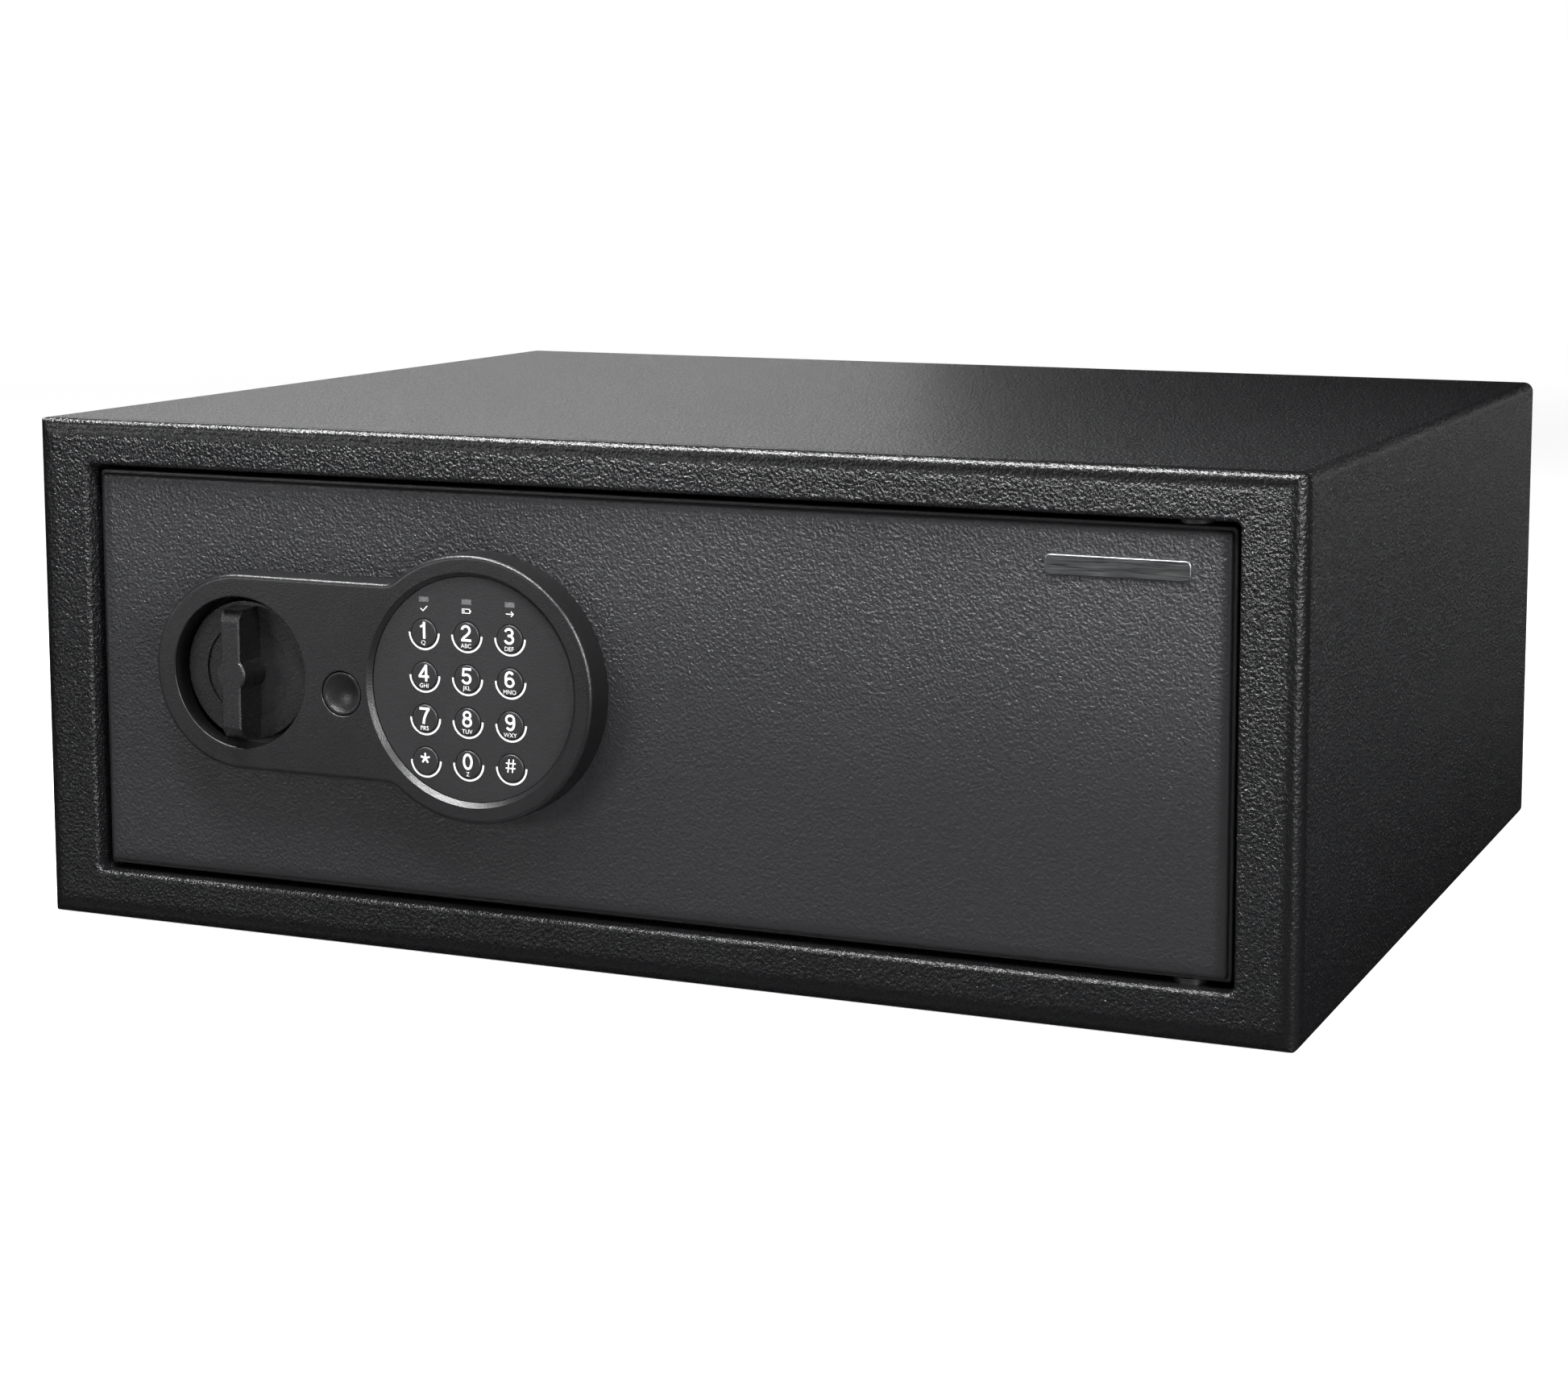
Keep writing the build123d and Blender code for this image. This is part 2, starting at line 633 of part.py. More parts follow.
def carriage_screws():
    """Shoulder screws through the carriage slots into the posts."""
    screws = []
    shoulder_end = CARRIAGE_FRONT + CARRIAGE_T + SLOT_CLEAR
    for z in (LOCK_Z - GUIDE_POST_DZ, LOCK_Z + GUIDE_POST_DZ):
        shoulder = cyl_y(GUIDE_POST_X, z, GUIDE_SCREW_R, CARRIAGE_FRONT - SLOT_CLEAR, shoulder_end)
        screws.append(shoulder + cyl_y(GUIDE_POST_X, z, 4.5, shoulder_end, shoulder_end + 2.2))
    return joined(screws)


def solenoid_frame():
    """Steel yoke of the lock solenoid, fixed to the door plate."""
    half_w = SOLENOID_W / 2
    half_h = SOLENOID_H / 2
    yoke = box(SOLENOID_X - half_w, SOLENOID_X + half_w, DOOR_BACK, SOLENOID_BACK,
               SOLENOID_Z - half_h, SOLENOID_Z + half_h)
    yoke -= box(SOLENOID_X - half_w + YOKE_T, SOLENOID_X + half_w - YOKE_T,
                DOOR_BACK + YOKE_T, SOLENOID_BACK - YOKE_T,
                SOLENOID_Z - half_h - 1, SOLENOID_Z + half_h + 1)
    return yoke - cyl_y(SOLENOID_X, SOLENOID_Z, PLUNGER_BORE_R, SOLENOID_BACK - 2, SOLENOID_BACK + 1)


def solenoid_coil():
    """Wound coil inside the yoke."""
    coil = cyl_y(SOLENOID_X, SOLENOID_Z, COIL_R, DOOR_BACK + YOKE_T, SOLENOID_BACK - YOKE_T)
    return coil - cyl_y(SOLENOID_X, SOLENOID_Z, PLUNGER_BORE_R, DOOR_BACK + YOKE_T + 1, SOLENOID_BACK)


def solenoid_plunger():
    """Blocking pin with a spring collar."""
    pin = cyl_y(SOLENOID_X, SOLENOID_Z, PLUNGER_R, PLUNGER_END, PLUNGER_TIP)
    pin = chamfer(edges_at_y(pin, PLUNGER_TIP), 0.5)
    return pin + cyl_y(SOLENOID_X, SOLENOID_Z, COLLAR_R, COLLAR_Y, COLLAR_Y + COLLAR_T)


def plunger_spring():
    """Compression spring that pushes the blocking pin out."""
    start = SOLENOID_BACK + SPRING_WIRE_R + 0.1
    length = COLLAR_Y - SPRING_WIRE_R - 0.1 - start
    path = Helix(pitch=length / SPRING_TURNS, height=length, radius=SPRING_R)
    wire = sweep(Plane(origin=path @ 0, z_dir=path % 0) * Circle(SPRING_WIRE_R), path=path)
    return Pos(SOLENOID_X, start, SOLENOID_Z) * Rot(-90, 0, 0) * wire


def override_lock_body():
    """Barrel of the key override lock."""
    front = DOOR_FACE - LOCK_HEAD_T
    barrel = cyl_y(CAP_X, CAP_Z, LOCK_HEAD_R, front, DOOR_FACE)
    barrel += cyl_y(CAP_X, CAP_Z, LOCK_BARREL_R, DOOR_FACE, LOCK_BARREL_END)
    return barrel - cyl_y(CAP_X, CAP_Z, LOCK_PLUG_BORE_R, front - 1, LOCK_BARREL_END + 1)


def override_lock_nut():
    """Hexagon nut that holds the lock barrel to the door."""
    nut = hex_y(CAP_X, CAP_Z, LOCK_NUT_R, DOOR_BACK, DOOR_BACK + LOCK_NUT_T)
    return nut - cyl_y(CAP_X, CAP_Z, LOCK_BARREL_R, DOOR_BACK - 1, DOOR_BACK + LOCK_NUT_T + 1)


def override_plug():
    """Turning plug with its keyhole."""
    front = DOOR_FACE - LOCK_HEAD_T
    plug = cyl_y(CAP_X, CAP_Z, LOCK_PLUG_R, front, LOCK_BARREL_END + 0.5)
    return plug - box(CAP_X - KEYHOLE_W / 2, CAP_X + KEYHOLE_W / 2, front - 1, DOOR_FACE + 14,
                      CAP_Z - KEYHOLE_H / 2, CAP_Z + KEYHOLE_H / 2)


def override_cam():
    """Lever on the inner end of the override plug."""
    y0 = LOCK_BARREL_END + 0.5
    y1 = y0 + LOCK_CAM_T
    tip_z = CAP_Z + LOCK_CAM_REACH
    lever = cyl_y(CAP_X, CAP_Z, LOCK_CAM_R, y0, y1)
    lever += box(CAP_X - LOCK_CAM_TIP_R, CAP_X + LOCK_CAM_TIP_R, y0, y1, CAP_Z, tip_z)
    return lever + cyl_y(CAP_X, tip_z, LOCK_CAM_TIP_R, y0, y1)


def override_cap():
    """Removable cap over the key lock, with a dished front."""
    face = HOUSING_FACE + 0.2
    cap = cyl_y(CAP_X, CAP_Z, CAP_R, face, face + CAP_T)
    dish_r = CAP_R - CAP_RIM
    depth = CAP_DISH_SPHERE_R - math.sqrt(CAP_DISH_SPHERE_R ** 2 - dish_r ** 2)
    cap -= Pos(CAP_X, face + depth - CAP_DISH_SPHERE_R, CAP_Z) * Sphere(CAP_DISH_SPHERE_R)
    return fillet(edges_at_y(cap, face), CAP_EDGE_R)


def inner_cover():
    """Sheet-metal pan over the lock works, with the battery and reset openings."""
    cover = box(COVER_LEFT, COVER_RIGHT, DOOR_BACK, COVER_BACK, COVER_BOTTOM, COVER_TOP)
    cover = fillet(edges_at_y(cover, COVER_BACK), 2.4)
    cover -= box(COVER_LEFT + COVER_T, COVER_RIGHT - COVER_T, DOOR_BACK - 1, COVER_BACK - COVER_T,
                 COVER_BOTTOM + COVER_T, COVER_TOP - COVER_T)
    for z in bolt_heights():
        cover -= cyl_x(BOLT_Y, z, BOLT_R + 0.6, COVER_LEFT - 1, COVER_LEFT + COVER_T + 1)
    half_w = BATTERY_W / 2
    half_h = BATTERY_H / 2
    cover -= box(BATTERY_X - half_w, BATTERY_X + half_w, COVER_BACK - 2, COVER_BACK + 1,
                 BATTERY_Z - half_h, BATTERY_Z + half_h)
    cover -= cyl_y(RESET_X, RESET_Z, RESET_R + 0.5, COVER_BACK - 2, COVER_BACK + 1)
    for x, z in cover_post_places():
        cover -= cyl_y(x, z, COVER_SCREW_R + 0.2, COVER_BACK - 2, COVER_BACK + 1)
    return cover


def cover_posts():
    """Four tapped posts between the door plate and the inner cover."""
    posts = []
    for x, z in cover_post_places():
        post = cyl_y(x, z, COVER_POST_R, DOOR_BACK, COVER_BACK - COVER_T)
        posts.append(post - cyl_y(x, z, COVER_SCREW_R, COVER_BACK - COVER_T - 10, COVER_BACK))
    return joined(posts)


def cover_screws():
    """Pan-head screws of the inner cover, with cross recesses."""
    screws = []
    for x, z in cover_post_places():
        head = cyl_y(x, z, 2 * COVER_SCREW_R, COVER_BACK, COVER_BACK + 2.4)
        head = fillet(edges_at_y(head, COVER_BACK + 2.4), 1.0)
        for half_x, half_z in ((2.2, 0.5), (0.5, 2.2)):
            head -= box(x - half_x, x + half_x, COVER_BACK + 1.2, COVER_BACK + 3,
                        z - half_z, z + half_z)
        screws.append(head + cyl_y(x, z, COVER_SCREW_R, COVER_BACK - COVER_T - 9, COVER_BACK))
    return joined(screws)


def battery_box():
    """Open tray for four cells, let into the inner cover."""
    x0 = BATTERY_X - BATTERY_W / 2
    x1 = BATTERY_X + BATTERY_W / 2
    z0 = BATTERY_Z - BATTERY_H / 2
    z1 = BATTERY_Z + BATTERY_H / 2
    y0 = COVER_BACK - COVER_T - 2 * CELL_R - 2 - BATTERY_WALL
    tray = box(x0, x1, y0, COVER_BACK - 0.4, z0, z1)
    wall = BATTERY_WALL
    return tray - box(x0 + wall, x1 - wall, y0 + wall, COVER_BACK, z0 + wall, z1 - wall)


def cell_places():
    """X of the four cells."""
    return [BATTERY_X + (i - 1.5) * CELL_PITCH for i in range(4)]


def battery_cells():
    """Four AA cells with their raised caps, turned end for end in pairs."""
    cells = []
    half = CELL_LEN / 2
    for i, x in enumerate(cell_places()):
        can = cyl_z(x, CELL_Y, CELL_R, -half, half - CELL_NUB)
        can = fillet(can.edges().filter_by(GeomType.CIRCLE), 0.5)
        can += cyl_z(x, CELL_Y, 2.7, half - CELL_NUB, half)
        if i % 2:
            can = mirror(can, about=Plane.XY)
        cells.append(can.moved(Pos(0, 0, BATTERY_Z)))
    return joined(cells)


def battery_contacts():
    """Spring plates at both ends of the cells."""
    near = CELL_LEN / 2
    far = BATTERY_H / 2 - BATTERY_WALL
    plates = []
    for z0, z1 in ((BATTERY_Z - far, BATTERY_Z - near), (BATTERY_Z + near, BATTERY_Z + far)):
        for x in cell_places():
            plates.append(box(x - 5, x + 5, CELL_Y - 4, CELL_Y + 4, z0, z1))
    return joined(plates)


def battery_cover():
    """Clip-on door of the battery box, with finger ribs."""
    width = BATTERY_W + 2 * BATTERY_LIP
    height = BATTERY_H + 2 * BATTERY_LIP
    outline = Pos(BATTERY_X, BATTERY_Z) * RectangleRounded(width, height, 3)
    cover = extrude_y(outline, COVER_BACK + 0.3, COVER_BACK + 2.5)
    cover = fillet(edges_at_y(cover, COVER_BACK + 2.5), 0.8)
    for i in range(RIB_COUNT):
        x = BATTERY_X + width / 2 - 8 - RIB_PITCH * i
        cover += box(x - RIB_W / 2, x + RIB_W / 2, COVER_BACK + 2.3, COVER_BACK + 3.2,
                     BATTERY_Z - RIB_H / 2, BATTERY_Z + RIB_H / 2)
    return cover


def reset_switch():
    """Small push switch behind the reset button."""
    half = RESET_SWITCH_W / 2
    return box(RESET_X - half, RESET_X + half, COVER_BACK - 13, COVER_BACK - 5.5,
               RESET_Z - half, RESET_Z + half)


def reset_button():
    """Code-reset button that pokes out of the inner cover."""
    button = cyl_y(RESET_X, RESET_Z, RESET_R, COVER_BACK - 3.4, COVER_BACK + 1.6)
    button = fillet(edges_at_y(button, COVER_BACK + 1.6), 0.6)
    return button + cyl_y(RESET_X, RESET_Z, RESET_FLANGE_R, COVER_BACK - 3.4, COVER_BACK - 2.0)


# ------------------------------------------------------- knob and bolt work

def grip_outline(grow):
    """Front view of the grip bar with its round middle, grown for the flare."""
    bar = Pos(KNOB_X, LOCK_Z) * Rectangle(GRIP_W + 2 * grow, GRIP_LEN + 0.6 * grow)
    return bar + Pos(KNOB_X, LOCK_Z) * Circle(GRIP_BOSS_R + grow)


def turn_knob():
    """Round knob plate with the upright grip bar."""
    disc = cyl_y(KNOB_X, LOCK_Z, KNOB_R, KNOB_FACE, KNOB_FACE + KNOB_T)
    disc = fillet(edges_at_y(disc, KNOB_FACE), 0.5)
    disc -= cyl_y(KNOB_X, LOCK_Z, KNOB_DISH_R, KNOB_FACE - 1, KNOB_FACE + KNOB_DISH_DEPTH)
    rear_y = KNOB_FACE + KNOB_DISH_DEPTH
    sections = []
    for y, grow in ((GRIP_FACE, -GRIP_BEVEL), (GRIP_FACE + GRIP_BEVEL, 0.0), (rear_y, GRIP_FLARE)):
        plane = Plane(origin=(0, y, 0), x_dir=(1, 0, 0), z_dir=(0, -1, 0))
        sections.append(plane * grip_outline(grow).face())
    grip = loft(sections, ruled=True)
    half = GRIP_LEN / 2
    for side in (-1, 1):
        tip = (GRIP_FACE - 0.01, LOCK_Z + side * (half - GRIP_END_Z))
        end = (GRIP_FACE + GRIP_END_Y, LOCK_Z + side * (half + 0.01))
        out = (GRIP_FACE - 0.01, LOCK_Z + side * (half + 0.01))
        wedge = Plane.YZ * make_face(Polyline(tip, end, out, close=True))
        grip -= extrude(wedge, amount=20, both=True).moved(Pos(KNOB_X, 0, 0))
    knob = disc + grip
    return knob - cyl_y(KNOB_X, LOCK_Z, SPINDLE_R, SPINDLE_TIP, KNOB_FACE + KNOB_T + 1)


def knob_spindle():
    """Steel spindle through the door, from the knob to the cam."""
    return cyl_y(KNOB_X, LOCK_Z, SPINDLE_R, SPINDLE_TIP, CAM_FRONT + CAM_T)


def crank_pin_place():
    """X, Z of the crank pin with the bolts drawn in."""
    reach = CRANK_R * math.cos(math.radians(45))
    return KNOB_X + reach, LOCK_Z + reach


def cam_lever():
    """Lever on the spindle that carries the crank pin."""
    x, z = crank_pin_place()
    lever = cyl_y(KNOB_X, LOCK_Z, CAM_HUB_R, CAM_FRONT, CAM_FRONT + CAM_T)
    lever += cyl_y(x, z, CAM_EYE_R, CAM_FRONT, CAM_FRONT + CAM_T)
    middle = Pos((KNOB_X + x) / 2, CAM_FRONT + CAM_T / 2, (LOCK_Z + z) / 2)
    lever += middle * Rot(0, -45, 0) * Box(CRANK_R, CAM_T, CAM_WEB_W)
    lever -= cyl_y(KNOB_X, LOCK_Z, SPINDLE_R, CAM_FRONT - 1, CAM_FRONT + CAM_T + 1)
    return lever - cyl_y(x, z, CRANK_PIN_R, CAM_FRONT - 1, CAM_FRONT + CAM_T + 1)


def crank_pin():
    """Pin that drives the bolt carriage."""
    x, z = crank_pin_place()
    return cyl_y(x, z, CRANK_PIN_R, CAM_FRONT, CARRIAGE_FRONT + CARRIAGE_T + 1)


def bolt_carriage():
    """Slotted plate with a turned-up tab that moves both bolts."""
    y0 = CARRIAGE_FRONT
    y1 = CARRIAGE_FRONT + CARRIAGE_T
    z0 = LOCK_Z - CARRIAGE_HALF_H
    z1 = LOCK_Z + CARRIAGE_HALF_H
    plate = box(CARRIAGE_LEFT, CARRIAGE_RIGHT, y0, y1, z0, z1)
    plate += box(CARRIAGE_LEFT, CARRIAGE_LEFT + CARRIAGE_T, BOLT_Y - BOLT_R, y1, z0, z1)
    for z in bolt_heights():
        plate -= cyl_x(BOLT_Y, z, BOLT_SPIGOT_R, CARRIAGE_LEFT - 1, CARRIAGE_LEFT + CARRIAGE_T + 1)
    for z in (LOCK_Z - GUIDE_POST_DZ, LOCK_Z + GUIDE_POST_DZ):
        r = GUIDE_SCREW_R + SLOT_CLEAR
        plate -= slot_x(GUIDE_POST_X, GUIDE_POST_X + BOLT_TRAVEL, z, r, y0 - 1, y1 + 1)
    x, z_low = crank_pin_place()
    half = CRANK_PIN_R + CRANK_CLEAR
    plate -= box(x - half, x + half, y0 - 1, y1 + 1, z_low - half, LOCK_Z + CRANK_R + half)
    entry = (CARRIAGE_FRONT - PLUNGER_TIP) / PLUNGER_TRAVEL * BOLT_TRAVEL
    r = PLUNGER_R + SLOT_CLEAR
    slot_start = SOLENOID_X + entry - 0.5
    plate -= slot_x(slot_start, SOLENOID_X + BOLT_TRAVEL, SOLENOID_Z, r, y0 - 1, y1 + 1)
    return plate


def locking_bolts():
    """Two round bolts with spigots riveted into the carriage tab."""
    bolts = []
    for z in bolt_heights():
        bolt = cyl_x(BOLT_Y, z, BOLT_R, BOLT_TIP, CARRIAGE_LEFT)
        tip = bolt.edges().filter_by(GeomType.CIRCLE).sort_by(Axis.X)[0]
        bolt = chamfer(tip, 1.2)
        spigot_end = CARRIAGE_LEFT + CARRIAGE_T + 1
        bolts.append(bolt + cyl_x(BOLT_Y, z, BOLT_SPIGOT_R, CARRIAGE_LEFT, spigot_end))
    return joined(bolts)


def main():
    os.makedirs("parts", exist_ok=True)
    lower, upper = bracket_levels()
    parts = {
        "cabinet_body": cabinet_body(),
        "back_panel": back_panel(),
        "floor_mat": floor_mat(),
        "hinge_bracket_lower": hinge_bracket(*lower),
        "hinge_bracket_upper": hinge_bracket(*upper),
        "hinge_pin_lower": hinge_pin(lower[0], DOOR_BOTTOM + HINGE_BLOCK_H - 2),
        "hinge_pin_upper": hinge_pin(DOOR_TOP - HINGE_BLOCK_H + 2, upper[1]),
        "hinge_washers": hinge_washers(),
        "door_plate": door_plate(),
        "hinge_block_lower": hinge_block(DOOR_BOTTOM, DOOR_BOTTOM + HINGE_BLOCK_H),
        "hinge_block_upper": hinge_block(DOOR_TOP - HINGE_BLOCK_H, DOOR_TOP),
        "badge_plate": badge_plate(),
        "lock_housing": lock_housing(),
        "housing_screws": housing_screws(),
        "keypad_face": keypad_face(),
        "indicator_lenses": indicator_lenses(),
        "keypad_board": keypad_board(),
        "keypad_switches": keypad_switches(),
        "keypad_ribbon": keypad_ribbon(),
        "control_board": control_board(),
        "spindle_bush": spindle_bush(),
        "bolt_guide": bolt_guide(),
        "carriage_posts": carriage_posts(),
        "carriage_screws": carriage_screws(),
        "solenoid_frame": solenoid_frame(),
        "solenoid_coil": solenoid_coil(),
        "solenoid_plunger": solenoid_plunger(),
        "plunger_spring": plunger_spring(),
        "override_lock_body": override_lock_body(),
        "override_lock_nut": override_lock_nut(),
        "override_plug": override_plug(),
        "override_cam": override_cam(),
        "override_cap": override_cap(),
        "inner_cover": inner_cover(),
        "cover_posts": cover_posts(),
        "cover_screws": cover_screws(),
        "battery_box": battery_box(),
        "battery_cells": battery_cells(),
        "battery_contacts": battery_contacts(),
        "battery_cover": battery_cover(),
        "reset_switch": reset_switch(),
        "reset_button": reset_button(),
        "turn_knob": turn_knob(),
        "knob_spindle": knob_spindle(),
        "cam_lever": cam_lever(),
        "crank_pin": crank_pin(),
        "bolt_carriage": bolt_carriage(),
        "locking_bolts": locking_bolts(),
    }
    for name, x, z in key_places():
        parts["key_" + name] = key(x, z)
    for name, solid in parts.items():
        export_step(solid, os.path.join("parts", name + ".step"))


main()
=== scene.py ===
import math

import bpy
from mathutils import Matrix, Vector


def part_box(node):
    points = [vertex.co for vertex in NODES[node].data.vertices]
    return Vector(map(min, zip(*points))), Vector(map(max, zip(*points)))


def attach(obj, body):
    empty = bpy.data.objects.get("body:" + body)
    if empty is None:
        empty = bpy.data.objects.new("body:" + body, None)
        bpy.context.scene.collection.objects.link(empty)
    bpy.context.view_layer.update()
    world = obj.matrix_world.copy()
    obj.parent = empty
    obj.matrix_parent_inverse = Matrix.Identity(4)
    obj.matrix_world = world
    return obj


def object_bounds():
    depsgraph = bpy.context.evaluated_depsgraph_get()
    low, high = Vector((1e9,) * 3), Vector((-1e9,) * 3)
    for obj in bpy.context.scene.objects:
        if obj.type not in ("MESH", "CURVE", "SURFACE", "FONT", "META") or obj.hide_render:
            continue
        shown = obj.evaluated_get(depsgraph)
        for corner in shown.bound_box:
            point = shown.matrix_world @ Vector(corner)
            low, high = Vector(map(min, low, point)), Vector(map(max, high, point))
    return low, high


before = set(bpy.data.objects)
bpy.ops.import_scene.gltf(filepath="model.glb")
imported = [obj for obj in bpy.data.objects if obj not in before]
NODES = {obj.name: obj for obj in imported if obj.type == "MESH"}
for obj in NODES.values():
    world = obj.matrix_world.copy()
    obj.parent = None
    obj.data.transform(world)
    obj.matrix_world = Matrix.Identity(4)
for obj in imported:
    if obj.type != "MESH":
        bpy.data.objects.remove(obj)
cad_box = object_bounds()
MM = 0.001

# ------------------------------------------------------------------ camera

CAMERA_AT = Vector((0.5043, -1.1861, 0.3088))
CAMERA_FORWARD = Vector((-0.3757, 0.9187, -0.1219))
CAMERA_UP = Vector((-0.0477, 0.1122, 0.9925))
FOCAL_PIXELS = 3831.0
IMAGE_WIDTH = 1946.0
SENSOR_MM = 36.0
CAMERA_SHIFT = (-0.06, -0.12)
CAMERA_NEAR = 0.05


def make_camera():
    data = bpy.data.cameras.new("camera")
    data.sensor_width = SENSOR_MM
    data.lens = FOCAL_PIXELS * SENSOR_MM / IMAGE_WIDTH
    data.shift_x, data.shift_y = CAMERA_SHIFT
    data.clip_start = CAMERA_NEAR
    camera = bpy.data.objects.new("camera", data)
    bpy.context.scene.collection.objects.link(camera)
    back = -CAMERA_FORWARD.normalized()
    right = CAMERA_UP.cross(back).normalized()
    up = back.cross(right)
    turn = Matrix((right, up, back)).transposed()
    camera.matrix_world = Matrix.Translation(CAMERA_AT) @ turn.to_4x4()
    bpy.context.scene.camera = camera


# --------------------------------------------------------- shader building

# The mix node's sockets when it mixes colours.
MIX_FACTOR = 0
MIX_COLOR_A = 6
MIX_COLOR_B = 7
MIX_COLOR_OUT = 2


class Graph:
    """A new material with short calls for its nodes and links."""

    def __init__(self, name):
        self.material = bpy.data.materials.new(name)
        self.material.use_nodes = True
        self.tree = self.material.node_tree
        self.tree.nodes.clear()
        self.surface = self.add("ShaderNodeBsdfPrincipled")
        output = self.add("ShaderNodeOutputMaterial")
        self.link(self.surface.outputs["BSDF"], output.inputs["Surface"])
        self.place = self.add("ShaderNodeTexCoord").outputs["Object"]

    def add(self, kind, **settings):
        node = self.tree.nodes.new(kind)
        for key, value in settings.items():
            setattr(node, key, value)
        return node

    def link(self, source, target):
        self.tree.links.new(source, target)

    def put(self, socket, value):
        """Links a socket to a socket, or sets a constant."""
        if isinstance(value, bpy.types.NodeSocket):
            self.link(value, socket)
        else:
            socket.default_value = value

    def set(self, **values):
        """Sets the surface's own sockets by their short names in SOCKETS."""
        for key, value in values.items():
            self.put(self.surface.inputs[SOCKETS[key]], value)

    def noise(self, scale, detail=2.0, rough=0.5, distort=0.0, stretch=None):
        node = self.add("ShaderNodeTexNoise")
        node.inputs["Scale"].default_value = scale
        node.inputs["Detail"].default_value = detail
        node.inputs["Roughness"].default_value = rough
        node.inputs["Distortion"].default_value = distort
        self.link(self.stretched(stretch), node.inputs["Vector"])
        return node.outputs["Fac"]

    def cells(self, scale, feature="SMOOTH_F1", smooth=0.6):
        node = self.add("ShaderNodeTexVoronoi", feature=feature)
        node.inputs["Scale"].default_value = scale
        if feature == "SMOOTH_F1":
            node.inputs["Smoothness"].default_value = smooth
        self.link(self.place, node.inputs["Vector"])
        return node.outputs["Distance"]

    def stretched(self, stretch):
        """The object's own coordinates, scaled along each axis if a stretch is given."""
        if stretch is None:
            return self.place
        node = self.add("ShaderNodeMapping")
        node.inputs["Scale"].default_value = stretch
        self.link(self.place, node.inputs["Vector"])
        return node.outputs["Vector"]

    def math(self, operation, a, b=0.0, c=0.0):
        node = self.add("ShaderNodeMath", operation=operation)
        self.put(node.inputs[0], a)
        self.put(node.inputs[1], b)
        self.put(node.inputs[2], c)
        return node.outputs[0]

    def span(self, value, low, high, to_low, to_high, smooth=False):
        kind = "SMOOTHSTEP" if smooth else "LINEAR"
        node = self.add("ShaderNodeMapRange", interpolation_type=kind)
        self.put(node.inputs["Value"], value)
        node.inputs["From Min"].default_value = low
        node.inputs["From Max"].default_value = high
        node.inputs["To Min"].default_value = to_low
        node.inputs["To Max"].default_value = to_high
        return node.outputs["Result"]

    def blend(self, factor, a, b):
        node = self.add("ShaderNodeMix", data_type="RGBA")
        self.put(node.inputs[MIX_FACTOR], factor)
        self.put(node.inputs[MIX_COLOR_A], rgba(a))
        self.put(node.inputs[MIX_COLOR_B], rgba(b))
        return node.outputs[MIX_COLOR_OUT]

    def axes(self):
        node = self.add("ShaderNodeSeparateXYZ")
        self.link(self.place, node.inputs["Vector"])
        return node.outputs["X"], node.outputs["Y"], node.outputs["Z"]

    def bump(self, height, distance):
        node = self.add("ShaderNodeBump")
        node.inputs["Strength"].default_value = 1.0
        node.inputs["Distance"].default_value = distance
        self.link(height, node.inputs["Height"])
        self.link(node.outputs["Normal"], self.surface.inputs["Normal"])


SOCKETS = {
    "color": "Base Color",
    "rough": "Roughness",
    "metal": "Metallic",
    "specular": "Specular IOR Level",
    "coat": "Coat Weight",
    "sheen": "Sheen Weight",
    "sheen_rough": "Sheen Roughness",
}


def rgba(value):
    """A three-number colour with its alpha; a socket passes through."""
    if isinstance(value, bpy.types.NodeSocket):
        return value
    return (*value, 1.0)


# --------------------------------------------------------------- materials

WRINKLE_SCALE = 820.0
PIT_SCALE = 880.0
PIT_SHARE = 0.55
PAINT_GRAIN_SCALE = 2600.0
PAINT_GRAIN_SHARE = 0.10
PAINT_CLOUD_SCALE = 9.0
# Share of the paint's mean colour left in the painted shade where a mask darkens it.
PAINTED_SHADE_LEVEL = 0.55

# Height of the paint's relief and how it fades, in metres. The same fades also carry painted shade:
# the paint colour darkens at the door's rim and foot and at the cabinet's front bends and foot.
RIM_FADE = (1.5 * MM, 6.5 * MM)
RIM_LEFT = 0.15
DOOR_FOOT_FADE = (0.25, 0.95)
DOOR_FOOT_LEFT = 0.28
BEND_FADE = (4.0 * MM, 8.5 * MM)
BEND_DEPTH_FADE = (4.0 * MM, 7.5 * MM)
BEND_LOSS = -0.78
CABINET_FOOT_LEFT = 0.45


